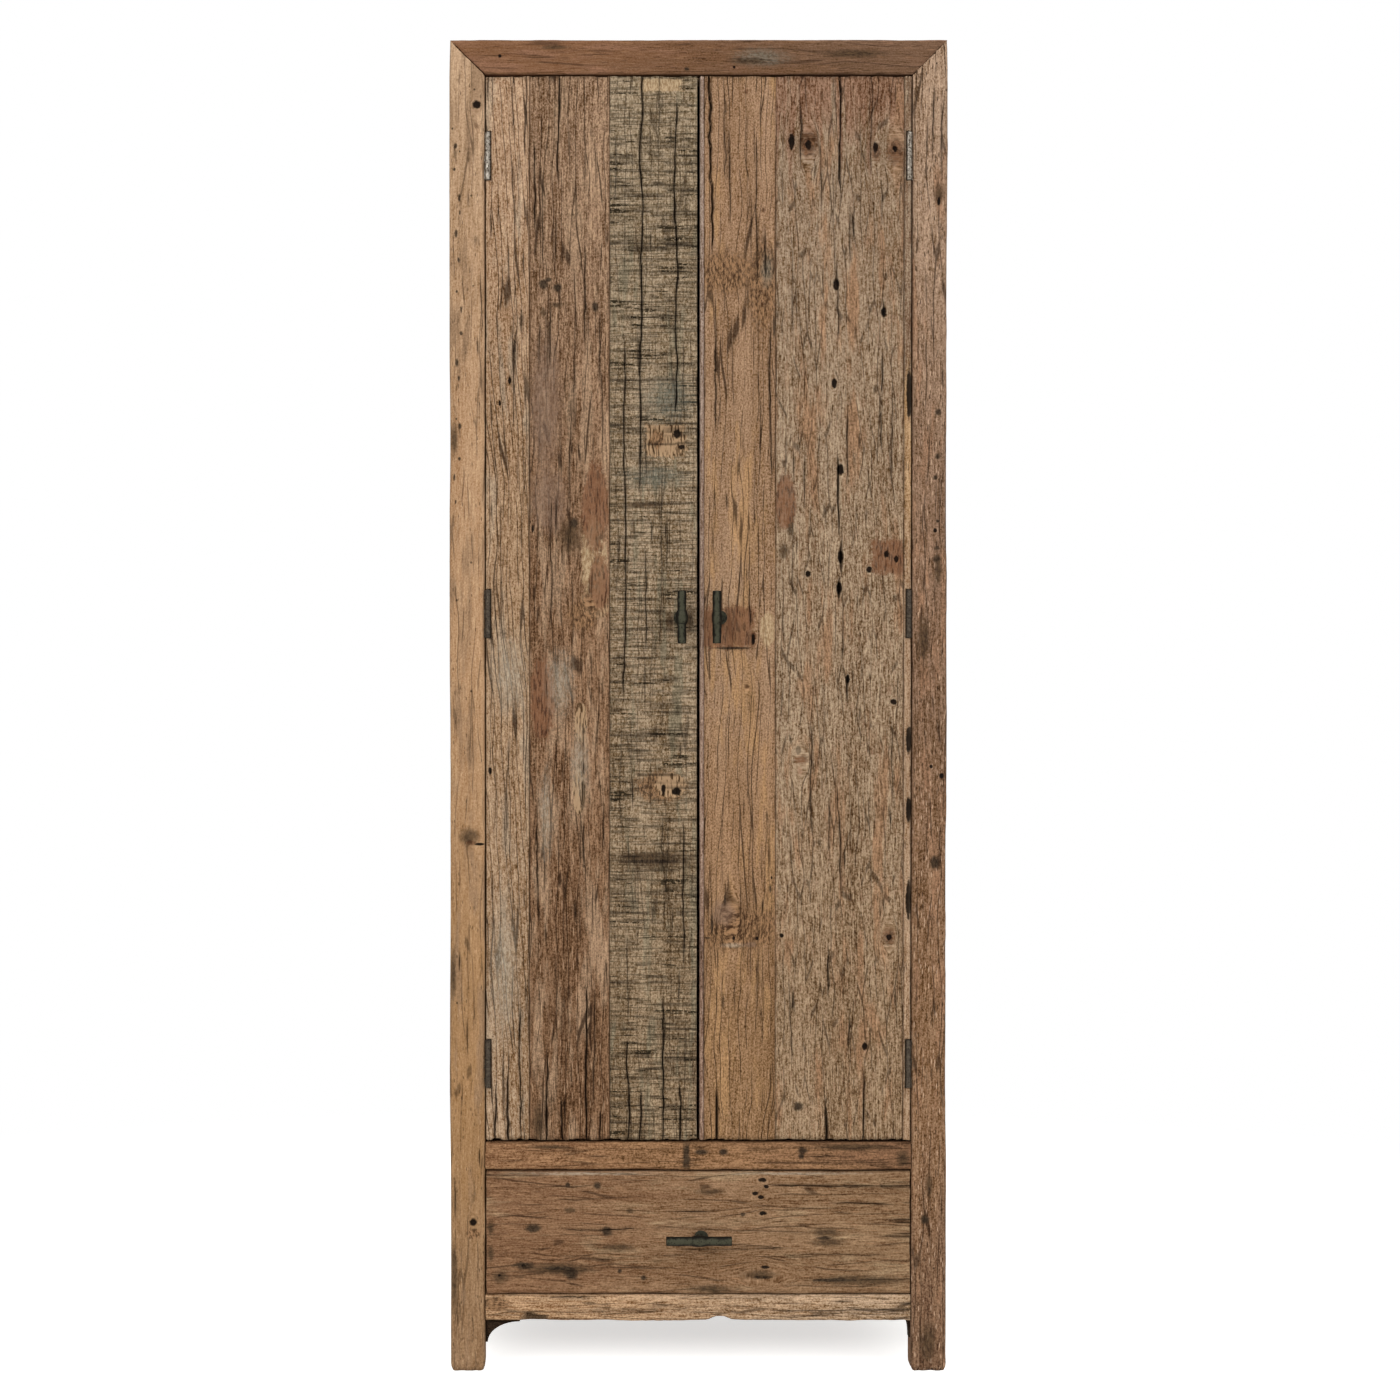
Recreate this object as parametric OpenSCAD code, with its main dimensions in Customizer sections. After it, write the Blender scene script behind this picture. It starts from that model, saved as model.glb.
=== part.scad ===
// Plank armoire: two ledged doors over one drawer, in a mitred front frame on four posts.
// Millimetres. The origin is on the floor under the middle of the whole piece, handles included.
// +Z is up, the front looks along -Y and +X is the viewer's right.

/* [Overall] */
// Width over the posts
width = 800; // [740:10:860]
// Depth of the case, from its front face to its back
depth = 560; // [500:10:620]
// Height from the floor to the top edge
height = 2140; // [2040:10:2240]

/* [Front frame] */
// Width of a front post
front_post_w = 57; // [52:1:66]
// Depth of the front posts and of the rails between them
frame_d = 50; // [48:1:60]
// Height of the mitred top rail
top_rail_h = 56; // [50:1:64]
// Height of the rail between doors and drawer
middle_rail_h = 45; // [40:1:56]
// Height of the rail under the drawer
bottom_rail_h = 43; // [36:1:54]
// Clear height under the bottom rail
leg_h = 81; // [70:1:110]
// Height of the drawer opening
drawer_opening_h = 201; // [195:1:230]
// How far the left mitre has opened at its inner end
left_mitre_gap = 2; // [0.5:0.5:4]
// Chamfer round the foot of each post
foot_chamfer = 4; // [2:0.5:8]
// Width of the worn notch under the bottom rail
rail_notch_w = 36; // [20:1:60]
// Height of that notch
rail_notch_h = 6; // [3:0.5:10]
// Place of that notch, right of the centre line
rail_notch_x = 35; // [-100:5:100]

/* [Foot brackets] */
// Length of the left bracket along the bottom rail
left_bracket_w = 36; // [24:1:66]
// Drop of the left bracket down the post
left_bracket_h = 28; // [20:1:45]
// Width of the worn right bracket
right_bracket_w = 7; // [5:0.5:20]
// Drop of the right bracket
right_bracket_h = 29; // [20:1:45]
// Thickness of both brackets
bracket_t = 20; // [12:1:24]
// How far the brackets stand behind the front face
bracket_setback = 14; // [6:1:20]
// Thickness left at the thin ends of a bracket
bracket_tip = 2.5; // [1.5:0.5:4]

/* [Sides, back and top] */
// Width of a back post
back_post_w = 45; // [40:1:54]
// Depth of a back post
back_post_d = 45; // [40:1:54]
// How far the side and back rails stand behind the posts' faces
rail_inset = 6; // [2:1:10]
// How far the planks stand behind the posts' faces
plank_inset = 14; // [11:1:18]
// Thickness of the side and back planks
plank_t = 14; // [10:1:20]
// Height of the upper side and back rails
upper_rail_h = 60; // [45:1:90]
// Planks across each side
side_planks = 3; // [2:1:5]
// Planks across the back
back_planks = 5; // [3:1:7]
// Gap that has dried open between neighbouring planks
board_gap = 0.8; // [0.4:0.1:2]
// Thickness of the top planks
top_plank_t = 18; // [14:1:24]
// How far the top planks lie below the front rail's top edge
top_lip = 2; // [1:0.5:6]
// Planks across the top
top_planks = 3; // [2:1:5]

/* [Inside] */
// Thickness of the wardrobe floor
floor_t = 14; // [10:1:18]
// Planks in the wardrobe floor
floor_planks = 3; // [2:1:5]
// Drop from the top edge to the underside of the hat shelf
shelf_drop = 340; // [280:10:420]
// Thickness of the hat shelf
shelf_t = 16; // [12:1:22]
// Gap between the front frame and the hat shelf
shelf_setback = 40; // [20:5:120]
// Width of a shelf cleat
cleat_w = 20; // [14:1:28]
// Height of a shelf cleat
cleat_h = 20; // [14:1:24]
// Diameter of the hanging rail
rod_d = 25; // [18:1:32]
// Drop from the shelf cleats to the middle of the hanging rail
rod_drop = 50; // [40:1:90]
// Diameter of a hanging rail socket
socket_d = 50; // [42:1:60]
// Thickness of a hanging rail socket
socket_t = 14; // [10:1:20]
// Wood left behind the rail in its socket
socket_floor = 3; // [2:0.5:5]
// Height of the door stop under the top rail
stop_h = 14; // [10:1:20]
// Width of a magnetic catch
catch_w = 40; // [30:1:50]
// Height of a magnetic catch
catch_h = 14; // [10:1:18]
// Depth of a magnetic catch
catch_d = 16; // [12:1:20]
// Distance from the centre line to the middle of a catch
catch_x = 50; // [40:1:90]
// Thickness of a strike plate
strike_t = 1; // [0.8:0.1:2]

/* [Doors] */
// Thickness of the door planks
door_t = 26; // [22:1:28]
// Gap between a door and its post
hinge_gap = 1.5; // [1.2:0.1:2]
// Gap between the two doors
meeting_gap = 4; // [3:0.5:6]
// Gap over the doors
door_top_gap = 2; // [1.5:0.5:4]
// Gap under the doors
door_bottom_gap = 3; // [2:0.5:5]
// Width of the left door's plank at the hinges
left_outer_plank_w = 70; // [50:1:90]
// Width of the left door's middle plank
left_centre_plank_w = 129; // [100:1:150]
// Width of the thin strip on the right door's meeting edge
edge_strip_w = 7; // [5:0.5:12]
// Width of the right door's plank beside that strip
right_inner_plank_w = 115; // [90:1:140]
// Width of the strip on the right door's hinge edge
hinge_strip_w = 11.5; // [11:0.5:16]
// Thickness of a door batten
batten_t = 20; // [14:1:20]
// Height of a door batten
batten_h = 80; // [60:1:100]
// Distance from a batten's end to the door's edge
batten_inset = 14; // [10:1:20]
// Distance from the door's end to the middle of the outer battens
batten_edge = 150; // [110:5:200]

/* [Hinges] */
// Height of a hinge
hinge_h = 76; // [66:1:88]
// Diameter of the knuckles
barrel_d = 9; // [8:0.5:10]
// Diameter of the pin
pin_d = 3; // [2.5:0.1:3.5]
// Radial clearance round the pin
pin_clear = 0.05; // [0.03:0.01:0.08]
// Thickness of a leaf
leaf_t = 1.5; // [1.2:0.1:1.8]
// Depth of a leaf's plate
leaf_w = 16; // [14:0.5:16]
// Gap between the knuckles and the post
barrel_side_gap = 0.4; // [0.3:0.1:0.8]
// How far the knuckles stand in front of the door
barrel_proud = 3.5; // [3:0.1:4]
// Gap between one knuckle and the next
knuckle_gap = 0.3; // [0.2:0.1:0.5]
// Room round the knuckles in the door's notch
notch_clear = 1; // [0.6:0.1:1.5]
// Drop from the top edge to the middle of the top hinges
top_hinge_drop = 186; // [160:1:240]
// Drop from the top edge to the middle of the middle hinges
middle_hinge_drop = 920; // [800:10:1000]
// Height of the middle of the bottom hinges over the door's lower end
bottom_hinge_rise = 123; // [100:1:180]

/* [Handles] */
// Height of the door handles over the floor
handle_z = 1214; // [1100:1:1300]
// Distance from the centre line to a door handle
handle_x = 28; // [24:1:40]
// Distance from the wood to the middle of a handle bar
handle_standoff = 38; // [32:1:46]
// Length of a door handle bar
door_bar_l = 84; // [70:1:100]
// Diameter of a door handle bar
door_bar_d = 13; // [10:0.5:14]
// Diameter of a door handle's collar
door_collar_d = 20; // [18:0.5:24]
// Length of a door handle's collar
door_collar_l = 22; // [16:1:28]
// How far the drawer handle sits below the middle of its opening
drawer_handle_drop = 8; // [0:1:30]
// Length of the drawer handle bar
drawer_bar_l = 105; // [85:1:130]
// Diameter of the drawer handle bar
drawer_bar_d = 15; // [12:0.5:17]
// Diameter of the drawer handle's collar
drawer_collar_d = 24; // [20:0.5:27]
// Length of the drawer handle's collar
drawer_collar_l = 26; // [18:1:34]
// Diameter of a handle's stem
stem_d = 10; // [8:0.5:12]
// Diameter of the rose at the foot of a stem
rose_d = 24; // [18:0.5:30]
// Thickness of the rose
rose_t = 4; // [3:0.5:6]
// Diameter of the shank in the wood
shank_d = 6; // [5:0.5:8]
// Length of the shank in the wood
shank_l = 17; // [12:1:18]

/* [Drawer] */
// Thickness of the drawer front
drawer_front_t = 24; // [20:1:28]
// Gap at each end of the drawer front
drawer_side_gap = 1.5; // [1:0.5:3]
// Gap under the drawer front
drawer_bottom_gap = 1; // [0.5:0.5:3]
// Gap over the drawer front
drawer_top_gap = 2; // [1:0.5:4]
// Distance from the opening's side to the drawer box
drawer_box_gap = 6; // [4:0.5:10]
// Length of the drawer box behind its front
drawer_box_l = 430; // [380:10:430]
// Thickness of the drawer box sides and back
drawer_side_t = 14; // [10:1:18]
// Height of the drawer box sides
drawer_side_h = 172; // [130:1:180]
// Thickness of the drawer bottom
drawer_bottom_t = 6; // [5:0.5:9]
// Height of the drawer bottom over the lower edge of the sides
drawer_bottom_rise = 10; // [8:1:14]
// Depth of the groove that holds the drawer bottom
groove_d = 6; // [4:0.5:7]
// Gap between the drawer sides and their runners
drawer_rest_gap = 0.3; // [0.2:0.1:0.5]
// Gap between the drawer sides and their guides
drawer_guide_gap = 1; // [0.5:0.1:2]
// Height of a drawer runner
runner_h = 25; // [18:1:32]
// How far a runner reaches in past the outside of the drawer side
runner_reach = 17; // [14:1:24]
// Height of a drawer guide
guide_h = 22; // [16:1:30]
// Length of a drawer stop
stop_l = 18; // [12:1:20]
// Height of a drawer stop
drawer_stop_h = 20; // [14:1:30]

/* [Screws] */
// Diameter of a screw's shank
screw_d = 4; // [3:0.5:4.5]
// Diameter of a screw's head
screw_head_d = 7; // [6.5:0.5:8]
// Length of a hinge screw
hinge_screw_l = 20; // [14:1:24]
// How far a batten screw reaches into the plank
batten_screw_bite = 15; // [10:1:18]
// Height of a batten screw's head
batten_head_h = 2; // [1.5:0.5:3]

/* [Hidden] */
$fn = 48;

// Where the case lies, front to back: the handles count in the middle of the whole.
handle_reach = handle_standoff + max(drawer_collar_d, door_collar_d) / 2;
front_y = (handle_reach - depth) / 2;
back_y = front_y + depth;
frame_back_y = front_y + frame_d;
post_front_y = back_y - back_post_d;
half_w = width / 2;
opening_x = half_w - front_post_w;
panel_depth = plank_inset + plank_t;
inner_x = half_w - panel_depth;

// Levels, from the floor up.
drawer_z = leg_h + bottom_rail_h;
middle_z = drawer_z + drawer_opening_h;
door_opening_z = middle_z + middle_rail_h;
top_rail_z = height - top_rail_h;
deck_z = height - top_lip - top_plank_t;
upper_rail_z = deck_z - upper_rail_h;
shelf_z = height - shelf_drop;
rod_z = shelf_z - cleat_h - rod_drop;
rod_y = (frame_back_y + post_front_y) / 2;

// Doors. The left door's sizes serve both: the right one is drawn as a mirror image.
door_edge_x = -opening_x + hinge_gap;
door_meet_x = -meeting_gap / 2;
door_bottom_z = door_opening_z + door_bottom_gap;
door_top_z = top_rail_z - door_top_gap;
door_back_y = front_y + door_t;
left_planks_x = [
    door_edge_x,
    door_edge_x + left_outer_plank_w,
    door_edge_x + left_outer_plank_w + left_centre_plank_w,
    door_meet_x
];
right_planks_x = [
    door_edge_x,
    door_edge_x + hinge_strip_w,
    door_meet_x - edge_strip_w - right_inner_plank_w,
    door_meet_x - edge_strip_w,
    door_meet_x
];
batten_mid_zs = [
    door_bottom_z + batten_edge,
    (door_bottom_z + door_top_z) / 2,
    door_top_z - batten_edge
];

// Hinges, on the left.
barrel_r = barrel_d / 2;
bore_r = pin_d / 2 + pin_clear;
hinge_x = -opening_x + barrel_side_gap + barrel_r;
hinge_y = front_y - barrel_proud + barrel_r;
knuckles = 5;
knuckle_h = (hinge_h - (knuckles - 1) * knuckle_gap) / knuckles;
knuckle_pitch = knuckle_h + knuckle_gap;
leaf_swing_gap = 0.5;
plate_y = hinge_y + barrel_r + leaf_swing_gap;
// The webs stay a little inside the barrel's back, so that the two are never tangent.
web_inset = 0.3;
web_y = hinge_y + barrel_r - web_inset - leaf_t;
tab_depth = barrel_r / 2;
pin_head_d = 5.5;
pin_head_h = 1.2;
screws_per_leaf = 3;
screw_gap = 0.05;
top_hinge_z = height - top_hinge_drop - hinge_h / 2;
middle_hinge_z = height - middle_hinge_drop - hinge_h / 2;
bottom_hinge_z = door_bottom_z + bottom_hinge_rise - hinge_h / 2;
hinge_zs = [bottom_hinge_z, middle_hinge_z, top_hinge_z];
lower_hinge_zs = [bottom_hinge_z, middle_hinge_z];

// Drawer box.
box_x = opening_x - drawer_box_gap;
box_z = drawer_z + drawer_rest_gap;
box_front_y = front_y + drawer_front_t;
box_back_y = box_front_y + drawer_box_l;
panel_z = box_z + drawer_bottom_rise;
panel_top_z = panel_z + drawer_bottom_t;
groove_gap = 0.2;
drawer_handle_z = (drawer_z + middle_z) / 2 - drawer_handle_drop;

// The rounding of a handle bar's ends.
bar_end_r = 3;
// Gaps in front of the catches and the door stop, and round the hanging rail in its sockets.
catch_gap = 0.3;
stop_gap = 0.5;
rod_end_gap = 0.5;
rod_gap = 0.2;
// Size of a strike plate's face.
strike_w = 30;
strike_h = 10;

wood_tan = "#a8835e";
wood_brown = "#86654a";
wood_grey = "#857457";
wood_red = "#7e5a41";
wood_inner = "#b89a72";
steel_worn = "#a9a294";
steel_dark = "#57503f";
iron = "#3e3c34";

// ---- helpers ----

// A box between two opposite corners
module block(from, to) {
    translate(from) cube(to - from);
}

// An outline drawn in X and Z, given a thickness from y forward by depth
module upright(y, thickness) {
    translate([0, y + thickness, 0]) rotate([90, 0, 0]) linear_extrude(thickness) children();
}

// The part itself and its mirror image
module both_sides() {
    children();
    mirror([1, 0, 0]) children();
}

module right_side() {
    mirror([1, 0, 0]) children();
}

// A cylinder along X from x0 to x1
module x_cylinder(x0, x1, y, z, r, r2) {
    translate([x0, y, z]) rotate([0, 90, 0]) cylinder(h = x1 - x0, r1 = r, r2 = is_undef(r2) ? r : r2);
}

// A cylinder along Y from y0 to y1
module y_cylinder(x, y0, y1, z, r) {
    translate([x, y1, z]) rotate([90, 0, 0]) cylinder(h = y1 - y0, r = r);
}

// Boards laid side by side along an axis: 0 for X, 1 for Y
module boards(from, to, count, axis) {
    step = (to[axis] - from[axis] + board_gap) / count;
    for (i = [0 : count - 1]) {
        low = [for (a = [0 : 2]) a == axis ? from[a] + i * step : from[a]];
        high = [for (a = [0 : 2]) a == axis ? from[a] + (i + 1) * step - board_gap : to[a]];
        block(low, high);
    }
}

// ---- front frame ----

module front_post_shape() {
    difference() {
        upright(front_y, frame_d) polygon([
            [-half_w + foot_chamfer, 0],
            [-opening_x - foot_chamfer, 0],
            [-opening_x, foot_chamfer],
            [-opening_x, top_rail_z],
            [-half_w, height],
            [-half_w, foot_chamfer]
        ]);
        for (z = hinge_zs) frame_leaf_pocket(z);
    }
}

module front_post_left() {
    color(wood_tan) front_post_shape();
}

module front_post_right() {
    color(wood_brown) right_side() front_post_shape();
}

module top_rail() {
    color(wood_red) upright(front_y, frame_d) polygon([
        [-opening_x + left_mitre_gap, top_rail_z],
        [opening_x, top_rail_z],
        [half_w, height],
        [-half_w, height]
    ]);
}

module middle_rail() {
    color(wood_brown)
        block([-opening_x, front_y, middle_z], [opening_x, frame_back_y, door_opening_z]);
}

module bottom_rail() {
    notch = [for (a = [180 : -15 : 0])
        [rail_notch_x + rail_notch_w / 2 * cos(a), leg_h + rail_notch_h * sin(a)]];
    color(wood_tan) upright(front_y, frame_d) polygon(concat(
        [[-opening_x, leg_h]],
        notch,
        [[opening_x, leg_h], [opening_x, drawer_z], [-opening_x, drawer_z]]
    ));
}

// A curved bracket in the corner of the left post and the bottom rail
module foot_bracket(w, h) {
    curve = [for (a = [90 : -10 : 0])
        [-opening_x + w - (w - bracket_tip) * cos(a), leg_h - h + (h - bracket_tip) * sin(a)]];
    upright(front_y + bracket_setback, bracket_t) polygon(concat(
        [[-opening_x, leg_h - h], [-opening_x, leg_h], [-opening_x + w, leg_h]],
        curve
    ));
}

module left_foot_bracket() {
    color(wood_brown) foot_bracket(left_bracket_w, left_bracket_h);
}

module right_foot_bracket() {
    color(wood_brown) right_side() foot_bracket(right_bracket_w, right_bracket_h);
}

// ---- sides, back and top ----

module back_post_shape() {
    upright(post_front_y, back_post_d) polygon([
        [-half_w + foot_chamfer, 0],
        [-half_w + back_post_w - foot_chamfer, 0],
        [-half_w + back_post_w, foot_chamfer],
        [-half_w + back_post_w, deck_z],
        [-half_w, deck_z],
        [-half_w, foot_chamfer]
    ]);
}

module back_post_left() {
    color(wood_brown) back_post_shape();
}

module back_post_right() {
    color(wood_brown) right_side() back_post_shape();
}

// Lower end and upper end of the lower, middle and upper rails
rail_spans = [[leg_h, drawer_z], [middle_z, door_opening_z], [upper_rail_z, deck_z]];
// Lower end and upper end of the planks between them
plank_spans = [[drawer_z, middle_z], [door_opening_z, upper_rail_z]];

module side_rails() {
    for (span = rail_spans)
        block([-half_w + rail_inset, frame_back_y, span[0]], [-inner_x, post_front_y, span[1]]);
}

module left_side_rails() {
    color(wood_brown) side_rails();
}

module right_side_rails() {
    color(wood_brown) right_side() side_rails();
}

module back_rails() {
    back_x = half_w - back_post_w;
    color(wood_brown) for (span = rail_spans)
        block([-back_x, back_y - panel_depth, span[0]], [back_x, back_y - rail_inset, span[1]]);
}

module side_boards() {
    for (span = plank_spans)
        boards(
            [-half_w + plank_inset, frame_back_y, span[0]],
            [-inner_x, post_front_y, span[1]],
            side_planks, 1
        );
}

module left_side_planks() {
    color(wood_tan) side_boards();
}

module right_side_planks() {
    color(wood_tan) right_side() side_boards();
}

module back_boards() {
    back_x = half_w - back_post_w;
    color(wood_grey) for (span = plank_spans)
        boards(
            [-back_x, back_y - panel_depth, span[0]],
            [back_x, back_y - plank_inset, span[1]],
            back_planks, 0
        );
}

module top_boards() {
    color(wood_grey)
        boards([-half_w, frame_back_y, deck_z], [half_w, back_y, deck_z + top_plank_t], top_planks, 1);
}

// ---- inside ----

module wardrobe_floor() {
    color(wood_inner) boards(
        [-inner_x, frame_back_y, door_opening_z - floor_t],
        [inner_x, post_front_y, door_opening_z],
        floor_planks, 1
    );
}

module hat_shelf() {
    color(wood_inner) boards(
        [-inner_x, frame_back_y + shelf_setback, shelf_z],
        [inner_x, post_front_y, shelf_z + shelf_t],
        2, 1
    );
}

module shelf_cleats() {
    color(wood_inner) both_sides() for (z = [door_opening_z - floor_t, shelf_z])
        block([-inner_x, frame_back_y, z - cleat_h], [-inner_x + cleat_w, post_front_y, z]);
}

module hanging_rail() {
    reach = inner_x - socket_floor - rod_end_gap;
    color(steel_worn) x_cylinder(-reach, reach, rod_y, rod_z, rod_d / 2);
}

module hanging_rail_sockets() {
    color(wood_inner) both_sides() difference() {
        x_cylinder(-inner_x, -inner_x + socket_t, rod_y, rod_z, socket_d / 2);
        x_cylinder(-inner_x + socket_floor, -inner_x + socket_t + 1, rod_y, rod_z, rod_d / 2 + rod_gap);
    }
}

module door_stop() {
    color(wood_inner) block(
        [-opening_x, door_back_y + stop_gap, top_rail_z - stop_h],
        [opening_x, frame_back_y, top_rail_z]
    );
}

module magnetic_catches() {
    face_y = door_back_y + strike_t + catch_gap;
    z = top_rail_z - stop_h;
    color("white") both_sides()
        block([-catch_x - catch_w / 2, face_y, z - catch_h], [-catch_x + catch_w / 2, face_y + catch_d, z]);
}

module strike_plate() {
    z = top_rail_z - stop_h - catch_h / 2;
    block(
        [-catch_x - strike_w / 2, door_back_y, z - strike_h / 2],
        [-catch_x + strike_w / 2, door_back_y + strike_t, z + strike_h / 2]
    );
}

// ---- drawer bearers ----

module drawer_runners() {
    color(wood_inner) both_sides() block(
        [-inner_x, frame_back_y, drawer_z - runner_h],
        [-box_x + runner_reach, post_front_y, drawer_z]
    );
}

module drawer_guides() {
    color(wood_inner) both_sides() block(
        [-inner_x, frame_back_y, drawer_z],
        [-box_x - drawer_guide_gap, post_front_y, drawer_z + guide_h]
    );
}

module drawer_stops() {
    color(wood_inner) both_sides() block(
        [-box_x, box_back_y + drawer_rest_gap, drawer_z],
        [-box_x + drawer_side_t, box_back_y + drawer_rest_gap + stop_l, drawer_z + drawer_stop_h]
    );
}

// ---- hinges, all drawn on the left ----

module knuckle(z, i) {
    translate([hinge_x, hinge_y, z + i * knuckle_pitch]) cylinder(h = knuckle_h, r = barrel_r);
}

module pin_bore(z) {
    translate([hinge_x, hinge_y, z - 1]) cylinder(h = hinge_h + 2, r = bore_r);
}

// Countersunk screws through a leaf, into the post (dir -1) or the door (dir 1), from the face at x
module leaf_screws(z, x, dir, gap) {
    head_r = screw_head_d / 2 + gap;
    shank_r = screw_d / 2 + gap;
    for (i = [0 : screws_per_leaf - 1])
        translate([x, plate_y + leaf_w / 2, z + hinge_h * (i + 0.5) / screws_per_leaf])
            rotate([0, 90 * dir, 0]) {
                cylinder(h = leaf_t, r1 = head_r, r2 = shank_r);
                cylinder(h = hinge_screw_l + gap, r = shank_r);
            }
}

module frame_leaf(z) {
    difference() {
        union() {
            block([-opening_x - leaf_t, plate_y, z], [-opening_x, plate_y + leaf_w, z + hinge_h]);
            for (i = [0, 2, 4]) {
                low = z + i * knuckle_pitch;
                knuckle(z, i);
                block([-opening_x - leaf_t, web_y, low], [hinge_x, web_y + leaf_t, low + knuckle_h]);
                block([-opening_x - leaf_t, web_y, low], [-opening_x, plate_y, low + knuckle_h]);
            }
        }
        pin_bore(z);
        leaf_screws(z, -opening_x, -1, screw_gap);
    }
}

module door_leaf(z) {
    difference() {
        union() {
            block([door_edge_x, plate_y, z], [door_edge_x + leaf_t, plate_y + leaf_w, z + hinge_h]);
            for (i = [1, 3]) {
                low = z + i * knuckle_pitch;
                knuckle(z, i);
                block(
                    [door_edge_x, hinge_y + tab_depth, low],
                    [door_edge_x + leaf_t, plate_y, low + knuckle_h]
                );
            }
        }
        pin_bore(z);
        leaf_screws(z, door_edge_x, 1, screw_gap);
    }
}

module hinge_pin(z) {
    translate([hinge_x, hinge_y, z]) cylinder(h = hinge_h, r = pin_d / 2);
    translate([hinge_x, hinge_y, z + hinge_h]) cylinder(h = pin_head_h, r = pin_head_d / 2);
}

// The pocket that a frame leaf is let into
module frame_leaf_pocket(z) {
    block([-opening_x - leaf_t, web_y, z], [-opening_x + 1, plate_y + leaf_w, z + hinge_h]);
    leaf_screws(z, -opening_x, -1, screw_gap);
}

// The notch round the knuckles and the pocket for the leaf in the door's edge
module door_hinge_cut(z) {
    block(
        [door_edge_x - 1, front_y - 1, z - notch_clear],
        [
            hinge_x + barrel_r + notch_clear,
            hinge_y + barrel_r + notch_clear,
            z + hinge_h + pin_head_h + notch_clear
        ]
    );
    block([door_edge_x - 1, plate_y, z], [door_edge_x + leaf_t, plate_y + leaf_w, z + hinge_h]);
    leaf_screws(z, door_edge_x, 1, screw_gap);
}

module left_top_frame_leaf() {
    color(steel_worn) frame_leaf(top_hinge_z);
}

module left_lower_frame_leaves() {
    color(steel_dark) for (z = lower_hinge_zs) frame_leaf(z);
}

module right_top_frame_leaf() {
    color(steel_worn) right_side() frame_leaf(top_hinge_z);
}

module right_lower_frame_leaves() {
    color(steel_dark) right_side() for (z = lower_hinge_zs) frame_leaf(z);
}

module left_top_door_leaf() {
    color(steel_worn) door_leaf(top_hinge_z);
}

module left_lower_door_leaves() {
    color(steel_dark) for (z = lower_hinge_zs) door_leaf(z);
}

module right_top_door_leaf() {
    color(steel_worn) right_side() door_leaf(top_hinge_z);
}

module right_lower_door_leaves() {
    color(steel_dark) right_side() for (z = lower_hinge_zs) door_leaf(z);
}

module left_hinge_pins() {
    color(steel_dark) for (z = hinge_zs) hinge_pin(z);
}

module right_hinge_pins() {
    color(steel_dark) right_side() for (z = hinge_zs) hinge_pin(z);
}

module frame_hinge_screws() {
    color(steel_worn) both_sides() for (z = hinge_zs) leaf_screws(z, -opening_x, -1, 0);
}

// ---- doors ----

// One upright plank of a door, between two of its joint lines, with the hinges and handle cut in
module door_plank(x0, x1) {
    difference() {
        block([x0, front_y, door_bottom_z], [x1, door_back_y, door_top_z]);
        if (x0 < door_edge_x + hinge_screw_l + 1) for (z = hinge_zs) door_hinge_cut(z);
        if (x0 < -handle_x && x1 > -handle_x)
            y_cylinder(-handle_x, front_y - 1, front_y + shank_l, handle_z, shank_d / 2);
        if (takes_screws(x0, x1)) batten_screws_at((x0 + x1) / 2, screw_gap);
    }
}

// The screws that hold the battens to the plank whose middle is at x
module batten_screws_at(x, gap) {
    for (z = batten_mid_zs, side = [-1, 1])
        translate([x, door_back_y - batten_screw_bite, z + side * batten_h / 4]) rotate([-90, 0, 0]) {
            cylinder(h = batten_screw_bite + batten_t, r = screw_d / 2 + gap);
            translate([0, 0, batten_screw_bite + batten_t])
                cylinder(h = batten_head_h, r = screw_head_d / 2);
        }
}

// Whether a plank between two joint lines is wide enough to be screwed to the battens
function takes_screws(x0, x1) = x1 - x0 > 2 * batten_inset;

// The middles of those planks
function plank_middles(xs) = [
    for (i = [0 : len(xs) - 2]) if (takes_screws(xs[i], xs[i + 1])) (xs[i] + xs[i + 1]) / 2
];

module door_battens(xs) {
    difference() {
        for (z = batten_mid_zs) block(
            [door_edge_x + batten_inset, door_back_y, z - batten_h / 2],
            [door_meet_x - batten_inset, door_back_y + batten_t, z + batten_h / 2]
        );
        for (x = plank_middles(xs)) batten_screws_at(x, screw_gap);
    }
}

module door_screws(xs) {
    for (z = hinge_zs) leaf_screws(z, door_edge_x, 1, 0);
    for (x = plank_middles(xs)) batten_screws_at(x, 0);
}

module left_door_outer_plank() {
    color(wood_tan) door_plank(left_planks_x[0], left_planks_x[1]);
}

module left_door_centre_plank() {
    color(wood_brown) door_plank(left_planks_x[1], left_planks_x[2]);
}

module left_door_inner_plank() {
    color(wood_grey) door_plank(left_planks_x[2], left_planks_x[3]);
}

module left_door_battens() {
    color(wood_inner) door_battens(left_planks_x);
}

module left_door_screws() {
    color(steel_worn) door_screws(left_planks_x);
}

module left_strike_plate() {
    color(steel_worn) strike_plate();
}

module right_door_hinge_strip() {
    color(wood_tan) right_side() door_plank(right_planks_x[0], right_planks_x[1]);
}

module right_door_outer_plank() {
    color(wood_grey) right_side() door_plank(right_planks_x[1], right_planks_x[2]);
}

module right_door_inner_plank() {
    color(wood_tan) right_side() door_plank(right_planks_x[2], right_planks_x[3]);
}

module right_door_edge_strip() {
    color(wood_tan) right_side() door_plank(right_planks_x[3], right_planks_x[4]);
}

module right_door_battens() {
    color(wood_inner) right_side() door_battens(right_planks_x);
}

module right_door_screws() {
    color(steel_worn) right_side() door_screws(right_planks_x);
}

module right_strike_plate() {
    color(steel_worn) right_side() strike_plate();
}

// ---- handles ----

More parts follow.
